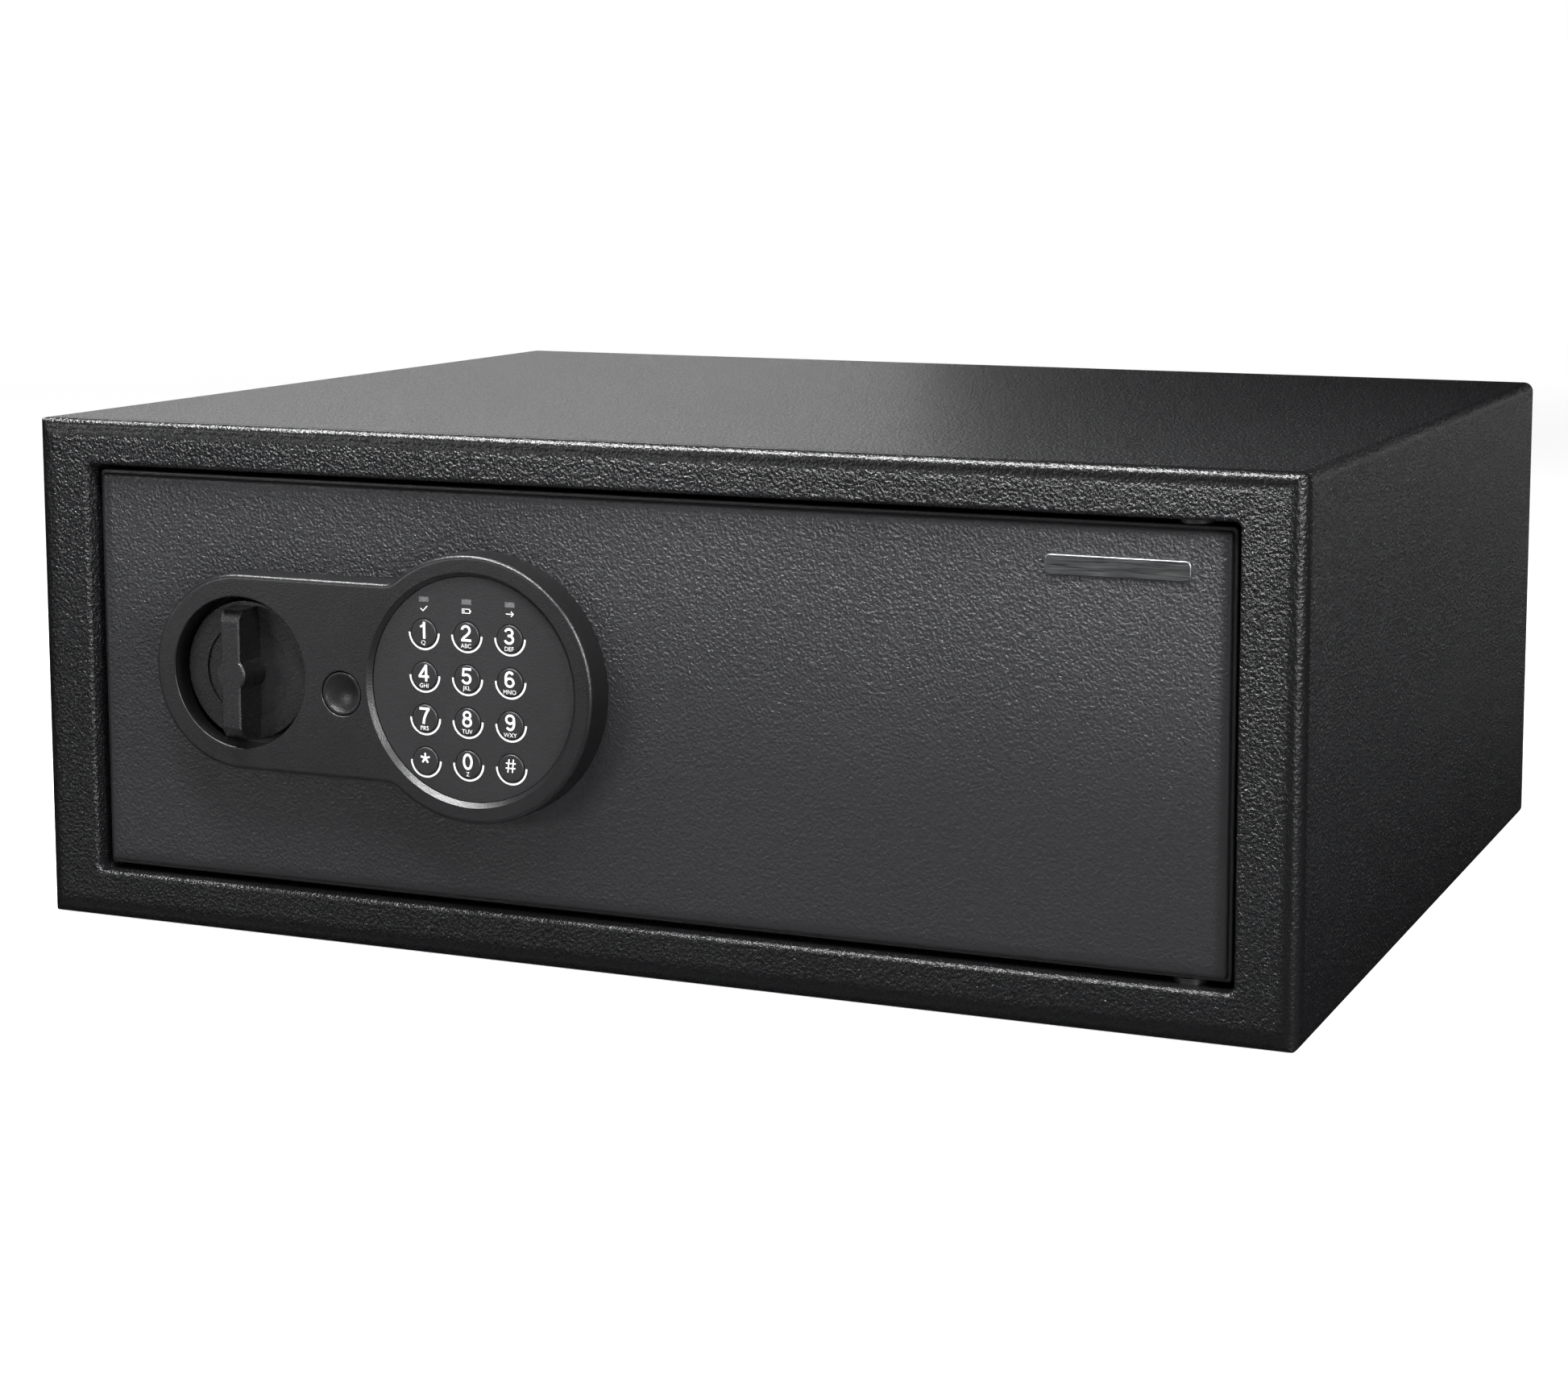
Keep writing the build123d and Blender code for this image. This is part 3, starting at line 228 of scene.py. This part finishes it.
def powder_coat(name, dark, light, rough, relief, mask=None):
    """Wrinkled charcoal powder coat; mask(g) returns the relief's strength from place to place, and
    where it falls the colour is also darkened as painted shade.
    """
    g = Graph(name)
    wrinkle = g.noise(WRINKLE_SCALE, detail=3.0, rough=0.5, distort=0.7)
    pits = g.cells(PIT_SCALE, smooth=0.8)
    grain = g.noise(PAINT_GRAIN_SCALE, detail=2.0, rough=0.6)
    height = g.math("MULTIPLY_ADD", pits, PIT_SHARE, wrinkle)
    height = g.math("MULTIPLY_ADD", grain, PAINT_GRAIN_SHARE, height)
    cloud = g.noise(PAINT_CLOUD_SCALE, detail=3.0)
    # Painted shade and painted highlight: the colour darkens in the wrinkle's creases and lightens
    # on its ridges; the cloud adds random tone.
    crease_shade_and_ridge_highlight = g.span(wrinkle, 0.35, 0.7, -0.5, 0.5)
    tone = g.math("MULTIPLY_ADD", crease_shade_and_ridge_highlight, 0.5, g.span(cloud, 0.3, 0.7, 0.3, 0.7))
    color = g.blend(tone, dark, light)
    if mask:
        relief_and_shade = mask(g)
        height = g.math("MULTIPLY", height, relief_and_shade)
        # Painted shade: where the mask falls, the colour darkens towards a fraction of the paint's
        # mean colour.
        painted_shade_color = tuple(PAINTED_SHADE_LEVEL * (a + b) / 2 for a, b in zip(dark, light))
        color = g.blend(relief_and_shade, painted_shade_color, color)
    g.bump(height, relief)
    g.set(
        color=color,
        rough=g.span(grain, 0.3, 0.7, *rough),
        specular=0.5,
    )
    return g.material


def edge_distance(g, low, high):
    """Distance in from the nearest side, top or bottom edge of a front-view rectangle."""
    x, _, z = g.axes()
    side = g.math("MINIMUM", g.math("SUBTRACT", x, low.x), g.math("SUBTRACT", high.x, x))
    level = g.math("MINIMUM", g.math("SUBTRACT", z, low.z), g.math("SUBTRACT", high.z, z))
    return g.math("MINIMUM", side, level)


def door_relief_and_painted_shade(g):
    """Full wrinkle and full colour on the upper door; towards the rim and the foot the wrinkle fades
    and the colour darkens as painted shade.
    """
    low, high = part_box("door_plate")
    rim = g.span(edge_distance(g, low, high), *RIM_FADE, RIM_LEFT, 1.0, smooth=True)
    z = g.axes()[2]
    fade_low, fade_high = (low.z + share * (high.z - low.z) for share in DOOR_FOOT_FADE)
    foot = g.span(z, fade_low, fade_high, DOOR_FOOT_LEFT, 1.0, smooth=True)
    return g.math("MULTIPLY", rim, foot)


def bend_relief_and_painted_shade(g):
    """Paint flows smoother over the bends round the cabinet's front and towards its foot; there the
    colour is also darkened as painted shade.
    """
    low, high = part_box("cabinet_body")
    edge = g.span(edge_distance(g, low, high), *BEND_FADE, 1.0, 0.0, smooth=True)
    _, y, z = g.axes()
    fade_front, fade_back = (low.y + depth for depth in BEND_DEPTH_FADE)
    front = g.span(y, fade_front, fade_back, 1.0, 0.0, smooth=True)
    bends = g.math("MULTIPLY_ADD", g.math("MULTIPLY", edge, front), BEND_LOSS, 1.0)
    foot = g.span(z, low.z, high.z, CABINET_FOOT_LEFT, 1.0)
    return g.math("MULTIPLY", bends, foot)


MOULD_GRAIN_SCALE = 1500.0
MOULD_GRAIN_DEPTH = 0.00012


def moulded_plastic(name, dark, light, rough=(0.40, 0.50), painted_wall_shade=None):
    """Moulding with a fine spark-eroded grain; the given wall colour, if any, is painted shade on
    its side faces.
    """
    g = Graph(name)
    grain = g.noise(MOULD_GRAIN_SCALE, detail=3.0, rough=0.6)
    patch = g.noise(24.0, detail=2.0)
    g.bump(grain, MOULD_GRAIN_DEPTH)
    color = g.blend(g.span(patch, 0.3, 0.7, 0.2, 0.8), dark, light)
    if painted_wall_shade:
        # Painted shade: faces that turn sideways, away from the front, take the darker wall colour.
        facing = g.add("ShaderNodeSeparateXYZ")
        g.link(g.place.node.outputs["Normal"], facing.inputs["Vector"])
        level = g.math("ABSOLUTE", facing.outputs["Y"])
        front = g.span(level, 0.25, 0.80, 0.0, 1.0, smooth=True)
        color = g.blend(front, painted_wall_shade, color)
    g.set(
        color=color,
        rough=g.span(grain, 0.3, 0.7, *rough),
        specular=0.5,
    )
    return g.material


def rubber(name):
    g = Graph(name)
    grain = g.noise(3200.0, detail=2.0, rough=0.6)
    g.bump(grain, 0.00003)
    tone = g.span(grain, 0.3, 0.7, 0.0, 1.0)
    g.set(
        color=g.blend(tone, (0.008, 0.008, 0.0087), (0.015, 0.015, 0.0162)),
        rough=g.span(grain, 0.3, 0.7, 0.38, 0.50),
    )
    return g.material


def ink(name):
    """White screen print, very slightly uneven."""
    g = Graph(name)
    cover = g.noise(1900.0, detail=2.0)
    tone = g.span(cover, 0.3, 0.6, 0.0, 1.0)
    g.set(
        color=g.blend(tone, (0.40, 0.40, 0.405), (0.50, 0.50, 0.50)),
        rough=g.span(cover, 0.3, 0.7, 0.50, 0.62),
    )
    return g.material


STREAK_DEPTH = 0.00001


def metal(name, dark, light, rough=(0.25, 0.4), streak=(1.0, 40.0, 40.0), scale=300.0):
    """Bare or plated metal with fine streaks along its low-stretch axis."""
    g = Graph(name)
    streaks = g.noise(scale, detail=3.0, rough=0.65, stretch=streak)
    cloud = g.noise(70.0, detail=3.0)
    g.bump(streaks, STREAK_DEPTH)
    tone = g.span(g.math("ADD", streaks, cloud), 0.7, 1.3, 0.0, 1.0)
    g.set(
        color=g.blend(tone, dark, light),
        rough=g.span(streaks, 0.3, 0.7, *rough),
        metal=1.0,
    )
    return g.material


def felt(name):
    g = Graph(name)
    fibre = g.noise(1500.0, detail=4.0, rough=0.75, distort=1.2)
    clump = g.noise(160.0, detail=3.0)
    g.bump(g.math("MULTIPLY_ADD", clump, 0.5, fibre), 0.0007)
    tone = g.span(fibre, 0.3, 0.7, 0.0, 1.0)
    g.set(
        color=g.blend(tone, (0.022, 0.022, 0.024), (0.075, 0.075, 0.08)),
        rough=0.95,
        specular=0.2,
        sheen=0.4,
        sheen_rough=0.5,
    )
    return g.material


def circuit_board(name):
    """Green board with copper tracks under the solder mask."""
    g = Graph(name)
    x, _, z = g.axes()
    lanes = g.math("PINGPONG", g.math("MULTIPLY_ADD", z, 400.0, g.math("SNAP", x, 0.009)), 0.5)
    track = g.math("GREATER_THAN", lanes, 0.36)
    cloud = g.noise(300.0, detail=2.0)
    tone = g.span(cloud, 0.3, 0.7, 0.0, 1.0)
    mask = g.blend(tone, (0.008, 0.075, 0.030), (0.012, 0.105, 0.042))
    g.bump(track, 0.00003)
    g.set(
        color=g.blend(track, mask, (0.03, 0.21, 0.08)),
        rough=g.span(cloud, 0.3, 0.7, 0.22, 0.34),
    )
    return g.material


STRIPE_START = 0.3
STRIPE_END = 0.55


def striped(name, base, line, along, pitch, rough=0.4, metallic=0.0):
    """Even stripes across one axis, as on a flat cable or a wound coil."""
    g = Graph(name)
    axis = g.axes()["XYZ".index(along)]
    half = pitch / 2
    wave = g.math("PINGPONG", axis, half)
    stripe = g.span(wave, half * STRIPE_START, half * STRIPE_END, 0.0, 1.0, smooth=True)
    grime = g.noise(800.0, detail=2.0)
    g.bump(stripe, 0.00012)
    g.set(
        color=g.blend(stripe, line, base),
        rough=g.span(grime, 0.3, 0.7, rough - 0.06, rough + 0.06),
        metal=metallic,
    )
    return g.material


def cell_wrap(name, split_z):
    """Plain battery sleeve: dark body with a copper band, no print."""
    g = Graph(name)
    _, _, z = g.axes()
    band = g.span(z, split_z, split_z + 0.0004, 0.0, 1.0)
    scuff = g.noise(500.0, detail=3.0)
    g.set(
        color=g.blend(band, (0.020, 0.020, 0.022), (0.50, 0.26, 0.10)),
        rough=g.span(scuff, 0.3, 0.7, 0.18, 0.30),
        metal=g.math("MULTIPLY", band, 0.8),
        coat=0.3,
    )
    return g.material


def lens(name):
    """Pale grey light window with a faint inner prism grain."""
    g = Graph(name)
    prism = g.cells(1500.0, feature="F1")
    g.bump(prism, 0.00006)
    tone = g.span(prism, 0.0, 0.6, 0.0, 1.0)
    g.set(
        color=g.blend(tone, (0.05, 0.05, 0.053), (0.09, 0.09, 0.095)),
        rough=g.span(prism, 0.0, 0.6, 0.22, 0.36),
        coat=0.5,
    )
    return g.material


# ----------------------------------------------------------- object finish

def dress(material, *nodes):
    """Gives CAD nodes their material."""
    for node in nodes:
        mesh = NODES[node].data
        mesh.materials.clear()
        mesh.materials.append(material)


# Each finish as (darker colour, lighter colour), in linear RGB.
CABINET_PAINT = ((0.0038, 0.0038, 0.0043), (0.0078, 0.0078, 0.0087))
DOOR_PAINT = ((0.0130, 0.0130, 0.0144), (0.0225, 0.0225, 0.0248))
BLACK_OXIDE = ((0.003, 0.003, 0.0033), (0.007, 0.007, 0.0076))
BLACK_NYLON = ((0.011, 0.011, 0.012), (0.018, 0.018, 0.019))
HOUSING_BLACK = ((0.0066, 0.0066, 0.0072), (0.0094, 0.0094, 0.0101))
# Darker colours painted on the side walls of the housing and the knob, as painted shade.
HOUSING_WALL_PAINTED_SHADE = (0.0032, 0.0032, 0.0035)
KNOB_BLACK = ((0.0066, 0.0066, 0.0072), (0.0104, 0.0104, 0.0112))
KNOB_WALL_PAINTED_SHADE = (0.0025, 0.0025, 0.0027)
FACE_BLACK = ((0.0100, 0.0100, 0.0108), (0.0150, 0.0150, 0.0161))
BUTTON_RED = ((0.42, 0.022, 0.018), (0.55, 0.034, 0.026))
ZINC_STEEL = ((0.34, 0.35, 0.37), (0.58, 0.59, 0.61))
SATIN_BADGE = ((0.40, 0.41, 0.42), (0.60, 0.61, 0.62))
DOME_STEEL = ((0.50, 0.50, 0.50), (0.70, 0.70, 0.69))
BRONZE = ((0.36, 0.22, 0.10), (0.56, 0.36, 0.18))
BRASS = ((0.55, 0.42, 0.17), (0.78, 0.62, 0.30))

CABINET_RELIEF = 0.0012
DOOR_RELIEF = 0.0011
INNER_RELIEF = 0.0009
RIBBON_PITCH = 1.27 * MM
WIRE_PITCH = 0.5 * MM
CELL_BAND_AT = 0.72

STEEL_NODES = (
    "housing_screws", "carriage_posts", "carriage_screws", "solenoid_frame", "solenoid_plunger",
    "plunger_spring", "cover_posts", "cover_screws", "battery_contacts", "knob_spindle",
    "cam_lever", "crank_pin", "bolt_carriage", "locking_bolts", "override_lock_nut", "override_cam",
)


def dress_painted_and_moulded():
    cabinet = powder_coat("powder_cabinet", *CABINET_PAINT, (0.23, 0.33), CABINET_RELIEF, bend_relief_and_painted_shade)
    dress(cabinet, "cabinet_body", "back_panel")
    dress(powder_coat("powder_door", *DOOR_PAINT, (0.34, 0.44), DOOR_RELIEF, door_relief_and_painted_shade),
          "door_plate")
    dress(powder_coat("powder_inner", *DOOR_PAINT, (0.34, 0.44), INNER_RELIEF),
          "hinge_block_lower", "hinge_block_upper", "inner_cover", "bolt_guide")
    dress(felt("mat_felt"), "floor_mat")
    dress(moulded_plastic("nylon_black", *BLACK_NYLON), "hinge_washers")
    housing = moulded_plastic("housing_black", *HOUSING_BLACK, rough=(0.27, 0.36),
                              painted_wall_shade=HOUSING_WALL_PAINTED_SHADE)
    dress(housing, "lock_housing", "override_cap", "battery_box", "battery_cover")
    knob = moulded_plastic("knob_black", *KNOB_BLACK, rough=(0.25, 0.33), painted_wall_shade=KNOB_WALL_PAINTED_SHADE)
    dress(knob, "turn_knob")
    dress(moulded_plastic("face_black", *FACE_BLACK, rough=(0.36, 0.46)), "keypad_face")
    dress(rubber("key_black"), *[n for n in NODES if n.startswith("key_")])
    dress(moulded_plastic("button_red", *BUTTON_RED, rough=(0.25, 0.36)),
          "reset_button", "reset_switch")


def dress_metals():
    dress(metal("zinc_steel", *ZINC_STEEL, streak=(1.0, 1.0, 14.0)), *STEEL_NODES)
    dress(metal("black_oxide", *BLACK_OXIDE, rough=(0.5, 0.65)),
          "hinge_bracket_lower", "hinge_bracket_upper", "hinge_pin_lower", "hinge_pin_upper")
    dress(metal("satin_badge", *SATIN_BADGE, streak=(0.03, 1.0, 1.0), scale=2500.0), "badge_plate")
    dress(metal("dome_steel", *DOME_STEEL), "keypad_switches")
    dress(metal("bronze_bush", *BRONZE), "spindle_bush")
    dress(metal("brass_lock", *BRASS), "override_lock_body", "override_plug")


def dress_electrics():
    dress(lens("lamp_window"), "indicator_lenses")
    dress(circuit_board("board_green"), "keypad_board", "control_board")
    ribbon_grey = striped("ribbon_grey", (0.42, 0.42, 0.43), (0.16, 0.16, 0.17), "X", RIBBON_PITCH)
    dress(ribbon_grey, "keypad_ribbon")
    winding = striped("copper_winding", (0.62, 0.30, 0.14), (0.25, 0.10, 0.04), "Y", WIRE_PITCH,
                      rough=0.35, metallic=0.9)
    dress(winding, "solenoid_coil")
    low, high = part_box("battery_cells")
    dress(cell_wrap("battery_sleeve", low.z + CELL_BAND_AT * (high.z - low.z)), "battery_cells")


# ----------------------------------------------------------------- printing

PRINT_LIFT = 0.03 * MM
PRINT_DEPTH = 0.25 * MM
STROKE_STEP = 0.004 * MM
STROKE_WEIGHT = 0.90


def mesh_piece(name, verts, faces, material, body):
    """A new mesh piece in place, riding on a body."""
    mesh = bpy.data.meshes.new(name)
    mesh.from_pydata([tuple(v) for v in verts], [], faces)
    mesh.validate()
    mesh.materials.append(material)
    piece = bpy.data.objects.new(name, mesh)
    bpy.context.scene.collection.objects.link(piece)
    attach(piece, body)
    return piece


def ribbon(points, front_y, width, closed=False):
    """A flat stroke of even width along front-view points, as verts and quads."""
    count = len(points)
    verts = []
    for i, (x, z) in enumerate(points):
        before = points[i - 1] if i or closed else points[i]
        after = points[(i + 1) % count] if i < count - 1 or closed else points[i]
        step_in = Vector((x - before[0], z - before[1]))
        step_out = Vector((after[0] - x, after[1] - z))
        if step_in.length == 0:
            step_in = step_out
        if step_out.length == 0:
            step_out = step_in
        along = (step_in.normalized() + step_out.normalized()).normalized()
        across = Vector((-along.y, along.x))
        corner = max(abs(along.dot(step_in.normalized())), 0.5)
        reach = width / 2 / corner
        for side in (1, -1):
            for y in (front_y, front_y + PRINT_DEPTH):
                verts.append((x + side * reach * across.x, y, z + side * reach * across.y))
    faces = []
    for i in range(count if closed else count - 1):
        a, b = 4 * i, 4 * ((i + 1) % count)
        faces += [(a, b, b + 2, a + 2), (a + 1, a + 3, b + 3, b + 1),
                  (a, a + 1, b + 1, b), (a + 2, b + 2, b + 3, a + 3)]
    if not closed:
        last = 4 * (count - 1)
        faces += [(0, 2, 3, 1), (last, last + 1, last + 3, last + 2)]
    return verts, faces


def merged(parts):
    """Several (verts, faces) lists as one."""
    verts, faces = [], []
    for part_verts, part_faces in parts:
        base = len(verts)
        verts += part_verts
        faces += [tuple(base + i for i in face) for face in part_faces]
    return verts, faces


def arc(cx, cz, rx, rz, start, end, steps=28):
    """Points on part of an ellipse, angles in degrees anticlockwise from +X."""
    angles = [math.radians(start + (end - start) * i / steps) for i in range(steps + 1)]
    return [(cx + rx * math.cos(a), cz + rz * math.sin(a)) for a in angles]


def text_piece(words, size, x, z, front_y):
    """Verts and faces of a flat line of lettering, centred at x, z on the front side."""
    curve = bpy.data.curves.new("lettering", "FONT")
    curve.body = words
    curve.size = size
    curve.extrude = PRINT_DEPTH / 2
    curve.resolution_u = 5
    holder = bpy.data.objects.new("lettering", curve)
    bpy.context.scene.collection.objects.link(holder)
    graph = bpy.context.evaluated_depsgraph_get()
    mesh = bpy.data.meshes.new_from_object(holder.evaluated_get(graph))
    points = [v.co.copy() for v in mesh.vertices]
    middle_x = (min(p.x for p in points) + max(p.x for p in points)) / 2
    middle_y = (min(p.y for p in points) + max(p.y for p in points)) / 2
    verts = []
    for p in points:
        verts.append((x + p.x - middle_x, front_y + PRINT_DEPTH / 2 - p.z, z + p.y - middle_y))
    faces = [tuple(face.vertices) for face in mesh.polygons]
    bpy.data.objects.remove(holder)
    bpy.data.curves.remove(curve)
    bpy.data.meshes.remove(mesh)
    return verts, faces


KEY_LETTERS = {
    "1": "Q", "2": "ABC", "3": "DEF", "4": "GHI", "5": "JKL", "6": "MNO",
    "7": "PRS", "8": "TUV", "9": "WXY", "star": "", "0": "Z", "hash": "",
}


def turned(points):
    """The same points turned half a turn about the middle of a digit."""
    return [(-x, DIGIT_H - z) for x, z in points]


DIGIT_H = 6.3
SIX_BOWL = arc(0.0, 2.02, 1.60, 1.48, 0, 360, 40)[:-1]
SIX_BACK = arc(0.05, 3.70, 1.65, 2.08, 38, 180, 24) + [(-1.60, 2.8), (-1.56, 1.9)]

# Centre lines of each sign in millimetres from the middle of its foot: (points, closed, width).
DIGITS = {
    "0": [(arc(0.0, 3.15, 1.60, 2.62, 0, 360, 48)[:-1], True, 1.05)],
    "1": [([(0.40, 0.0), (0.40, 6.3)], False, 1.15),
          ([(-1.35, 4.5), (-0.7, 4.6), (-0.1, 5.0), (0.2, 5.7)], False, 0.8)],
    "2": [(arc(-0.02, 4.22, 1.60, 1.52, 172, -28, 28) + [(0.55, 2.55), (-0.75, 1.6), (-1.60, 0.52)],
           False, 1.05),
          ([(-2.0, 0.52), (2.2, 0.52)], False, 1.04)],
    "3": [(arc(-0.05, 4.52, 1.48, 1.24, 168, -88, 28) + [(-0.60, 3.28)], False, 1.0),
          ([(-0.5, 3.30)] + arc(-0.05, 1.95, 1.66, 1.40, 88, -168, 32), False, 1.05)],
    "4": [([(0.95, 0.0), (0.95, 6.3)], False, 1.1), ([(-2.25, 1.85), (2.15, 1.85)], False, 0.98),
          ([(0.75, 5.8), (-1.85, 2.0)], False, 1.0)],
    "5": [([(2.0, 5.76), (-1.45, 5.76)], False, 1.04), ([(-1.2, 6.0), (-1.5, 3.1)], False, 0.92),
          (arc(-0.05, 2.15, 1.68, 1.60, 140, -166, 34), False, 1.05)],
    "6": [(SIX_BOWL, True, 1.0), (SIX_BACK, False, 1.05)],
    "7": [([(-2.1, 5.76), (2.15, 5.76)], False, 1.04),
          ([(1.75, 5.65), (0.85, 4.3), (0.1, 2.7), (-0.3, 1.3), (-0.45, 0.0)], False, 1.1)],
    "8": [(arc(0.0, 4.58, 1.36, 1.20, 0, 360, 40)[:-1], True, 0.98),
          (arc(0.0, 1.97, 1.60, 1.44, 0, 360, 40)[:-1], True, 1.03)],
    "9": [(turned(SIX_BOWL), True, 1.0), (turned(SIX_BACK), False, 1.05)],
    "star": [([(0.0, 3.1), arc(0.0, 3.1, 2.0, 2.0, a, a, 1)[0]], False, 0.85)
             for a in (90, 162, 234, 306, 18)],
    "hash": [([(-1.2, 0.5), (-0.65, 5.5)], False, 0.56), ([(0.65, 0.5), (1.2, 5.5)], False, 0.56),
             ([(-2.1, 2.1), (1.95, 2.1)], False, 0.56), ([(-1.95, 3.95), (2.1, 3.95)], False, 0.56)],
}
DIGIT_FOOT = -2.05 * MM
LETTER_LEVEL = -3.60 * MM
LETTER_SIZE = 2.30 * MM
HALF_RING_R = 6.15 * MM
HALF_RING_RISE = 0.1 * MM
HALF_RING_WIDTH = 0.76 * MM
LAMP_SIGN_DROP = 2.4 * MM


def strokes(sign, x, z, front_y):
    """The strokes of one sign, each a hair behind the one before."""
    parts = []
    for index, (points, closed, width) in enumerate(sign):
        placed = [(x + px * MM, z + pz * MM) for px, pz in points]
        stroke_width = width * STROKE_WEIGHT * MM
        parts.append(ribbon(placed, front_y + index * STROKE_STEP, stroke_width, closed))
    return parts


def print_keys(material):
    for key, letters in KEY_LETTERS.items():
        node = "key_" + key
        low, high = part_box(node)
        x, z = (low.x + high.x) / 2, (low.z + high.z) / 2
        front = low.y - PRINT_LIFT
        parts = strokes(DIGITS[key], x, z + DIGIT_FOOT, front)
        if letters:
            parts.append(text_piece(letters, LETTER_SIZE, x, z + LETTER_LEVEL, front))
        verts, faces = merged(parts)
        mesh_piece("print_" + node, verts, faces, material, node)


def print_face(material):
    """Half rings under the keys and a small sign under each lamp."""
    face_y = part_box("keypad_face")[0].y - PRINT_LIFT
    parts = []
    for key in KEY_LETTERS:
        low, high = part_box("key_" + key)
        x, z = (low.x + high.x) / 2, (low.z + high.z) / 2
        half_ring = arc(x, z + HALF_RING_RISE, HALF_RING_R, HALF_RING_R, 180, 360, 40)
        parts.append(ribbon(half_ring, face_y, HALF_RING_WIDTH))
    sign_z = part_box("indicator_lenses")[0].z - LAMP_SIGN_DROP
    for key, sign in LAMP_SIGNS.items():
        low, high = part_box("key_" + key)
        parts += strokes(sign, (low.x + high.x) / 2, sign_z, face_y)
    verts, faces = merged(parts)
    mesh_piece("print_keypad_face", verts, faces, material, "door")


# Signs under the lamps: a tick, a battery and an arrow, as (points, closed, width).
LAMP_SIGNS = {
    "1": [([(-1.35, 0.0), (-0.35, -0.9), (1.5, 1.0)], False, 0.42)],
    "2": [([(-1.75, -0.75), (1.35, -0.75), (1.35, 0.75), (-1.75, 0.75)], True, 0.32),
          ([(1.75, -0.35), (1.75, 0.35)], False, 0.36),
          ([(-1.05, -0.35), (-1.05, 0.35)], False, 0.5)],
    "3": [([(-1.6, 0.0), (1.3, 0.0)], False, 0.42),
          ([(0.5, 0.95), (1.5, 0.0), (0.5, -0.95)], False, 0.42)],
}


# ------------------------------------------------------------------- studio

CENTRE = (0.0, -0.1, 0.1)
BACKDROP_WHITE = (1.0, 1.0, 1.0, 1.0)

# Area lights as (name, place, aim, width, height, watts), in metres.
LIGHTS = (
    ("overhead", (-0.24, -0.50, 1.05), CENTRE, 1.25, 0.14, 37.0),
    ("right_strip", (1.45, -0.80, 0.85), (0.20, -0.2, 0.15), 0.16, 0.85, 41.0),
    ("front_left", (-1.6, -2.0, 0.50), (-0.05, -0.2, 0.13), 1.1, 0.6, 11.0),
    ("back_left", (-1.62, 1.95, 0.75), (0.0, 0.0, 0.19), 1.8, 0.7, 6.1),
    ("back_right", (1.10, 2.2, 0.20), (0.25, 0.0, 0.10), 0.8, 0.4, 2.3),
    ("edge_glint", (1.35, -1.15, 0.17), (-0.15, -0.2, 0.10), 0.14, 0.28, 4.0),
)


def area_light(name, at, aim, width, height, power):
    data = bpy.data.lights.new(name, "AREA")
    data.shape = "RECTANGLE"
    data.size = width
    data.size_y = height
    data.energy = power
    lamp = bpy.data.objects.new(name, data)
    bpy.context.scene.collection.objects.link(lamp)
    lamp.location = at
    lamp.rotation_mode = "QUATERNION"
    lamp.rotation_quaternion = (Vector(aim) - Vector(at)).to_track_quat("-Z", "Y")


def make_studio():
    scene = bpy.context.scene
    scene.view_settings.view_transform = "Standard"
    world = bpy.data.worlds.new("studio")
    world.use_nodes = True
    background = world.node_tree.nodes["Background"]
    background.inputs["Color"].default_value = BACKDROP_WHITE
    background.inputs["Strength"].default_value = 1.0
    scene.world = world
    world.cycles_visibility.diffuse = False
    world.cycles_visibility.glossy = False
    world.cycles_visibility.transmission = False
    world.cycles_visibility.scatter = False
    for light in LIGHTS:
        area_light(*light)


FLOOR_RADIUS = 3.0
FLOOR_SIDES = 96
FLOOR_FADE = (1.2, 2.8)
FLOOR_GLOW = 0.62


def make_floor():
    """Pale floor disc that fades into the backdrop at its edge."""
    g = Graph("floor_pale")
    length = g.add("ShaderNodeVectorMath", operation="LENGTH")
    g.link(g.place, length.inputs[0])
    fade = g.span(length.outputs["Value"], *FLOOR_FADE, 1.0, 0.0, smooth=True)
    mottling = g.noise(3.0, detail=2.0)
    g.set(
        color=g.blend(mottling, (0.86, 0.86, 0.86), (0.88, 0.88, 0.88)),
        rough=0.9,
        specular=0.1,
    )
    g.surface.inputs["Emission Color"].default_value = BACKDROP_WHITE
    g.surface.inputs["Emission Strength"].default_value = FLOOR_GLOW
    g.link(fade, g.surface.inputs["Alpha"])
    turns = [2 * math.pi * i / FLOOR_SIDES for i in range(FLOOR_SIDES)]
    mesh = bpy.data.meshes.new("floor")
    rim = [(FLOOR_RADIUS * math.cos(a), FLOOR_RADIUS * math.sin(a), cad_box[0].z) for a in turns]
    mesh.from_pydata(rim, [], [tuple(range(FLOOR_SIDES))])
    mesh.materials.append(g.material)
    floor = bpy.data.objects.new("floor", mesh)
    bpy.context.scene.collection.objects.link(floor)
    floor.visible_glossy = False


make_camera()
dress_painted_and_moulded()
dress_metals()
dress_electrics()
white_ink = ink("print_white")
print_keys(white_ink)
print_face(white_ink)
make_studio()
make_floor()
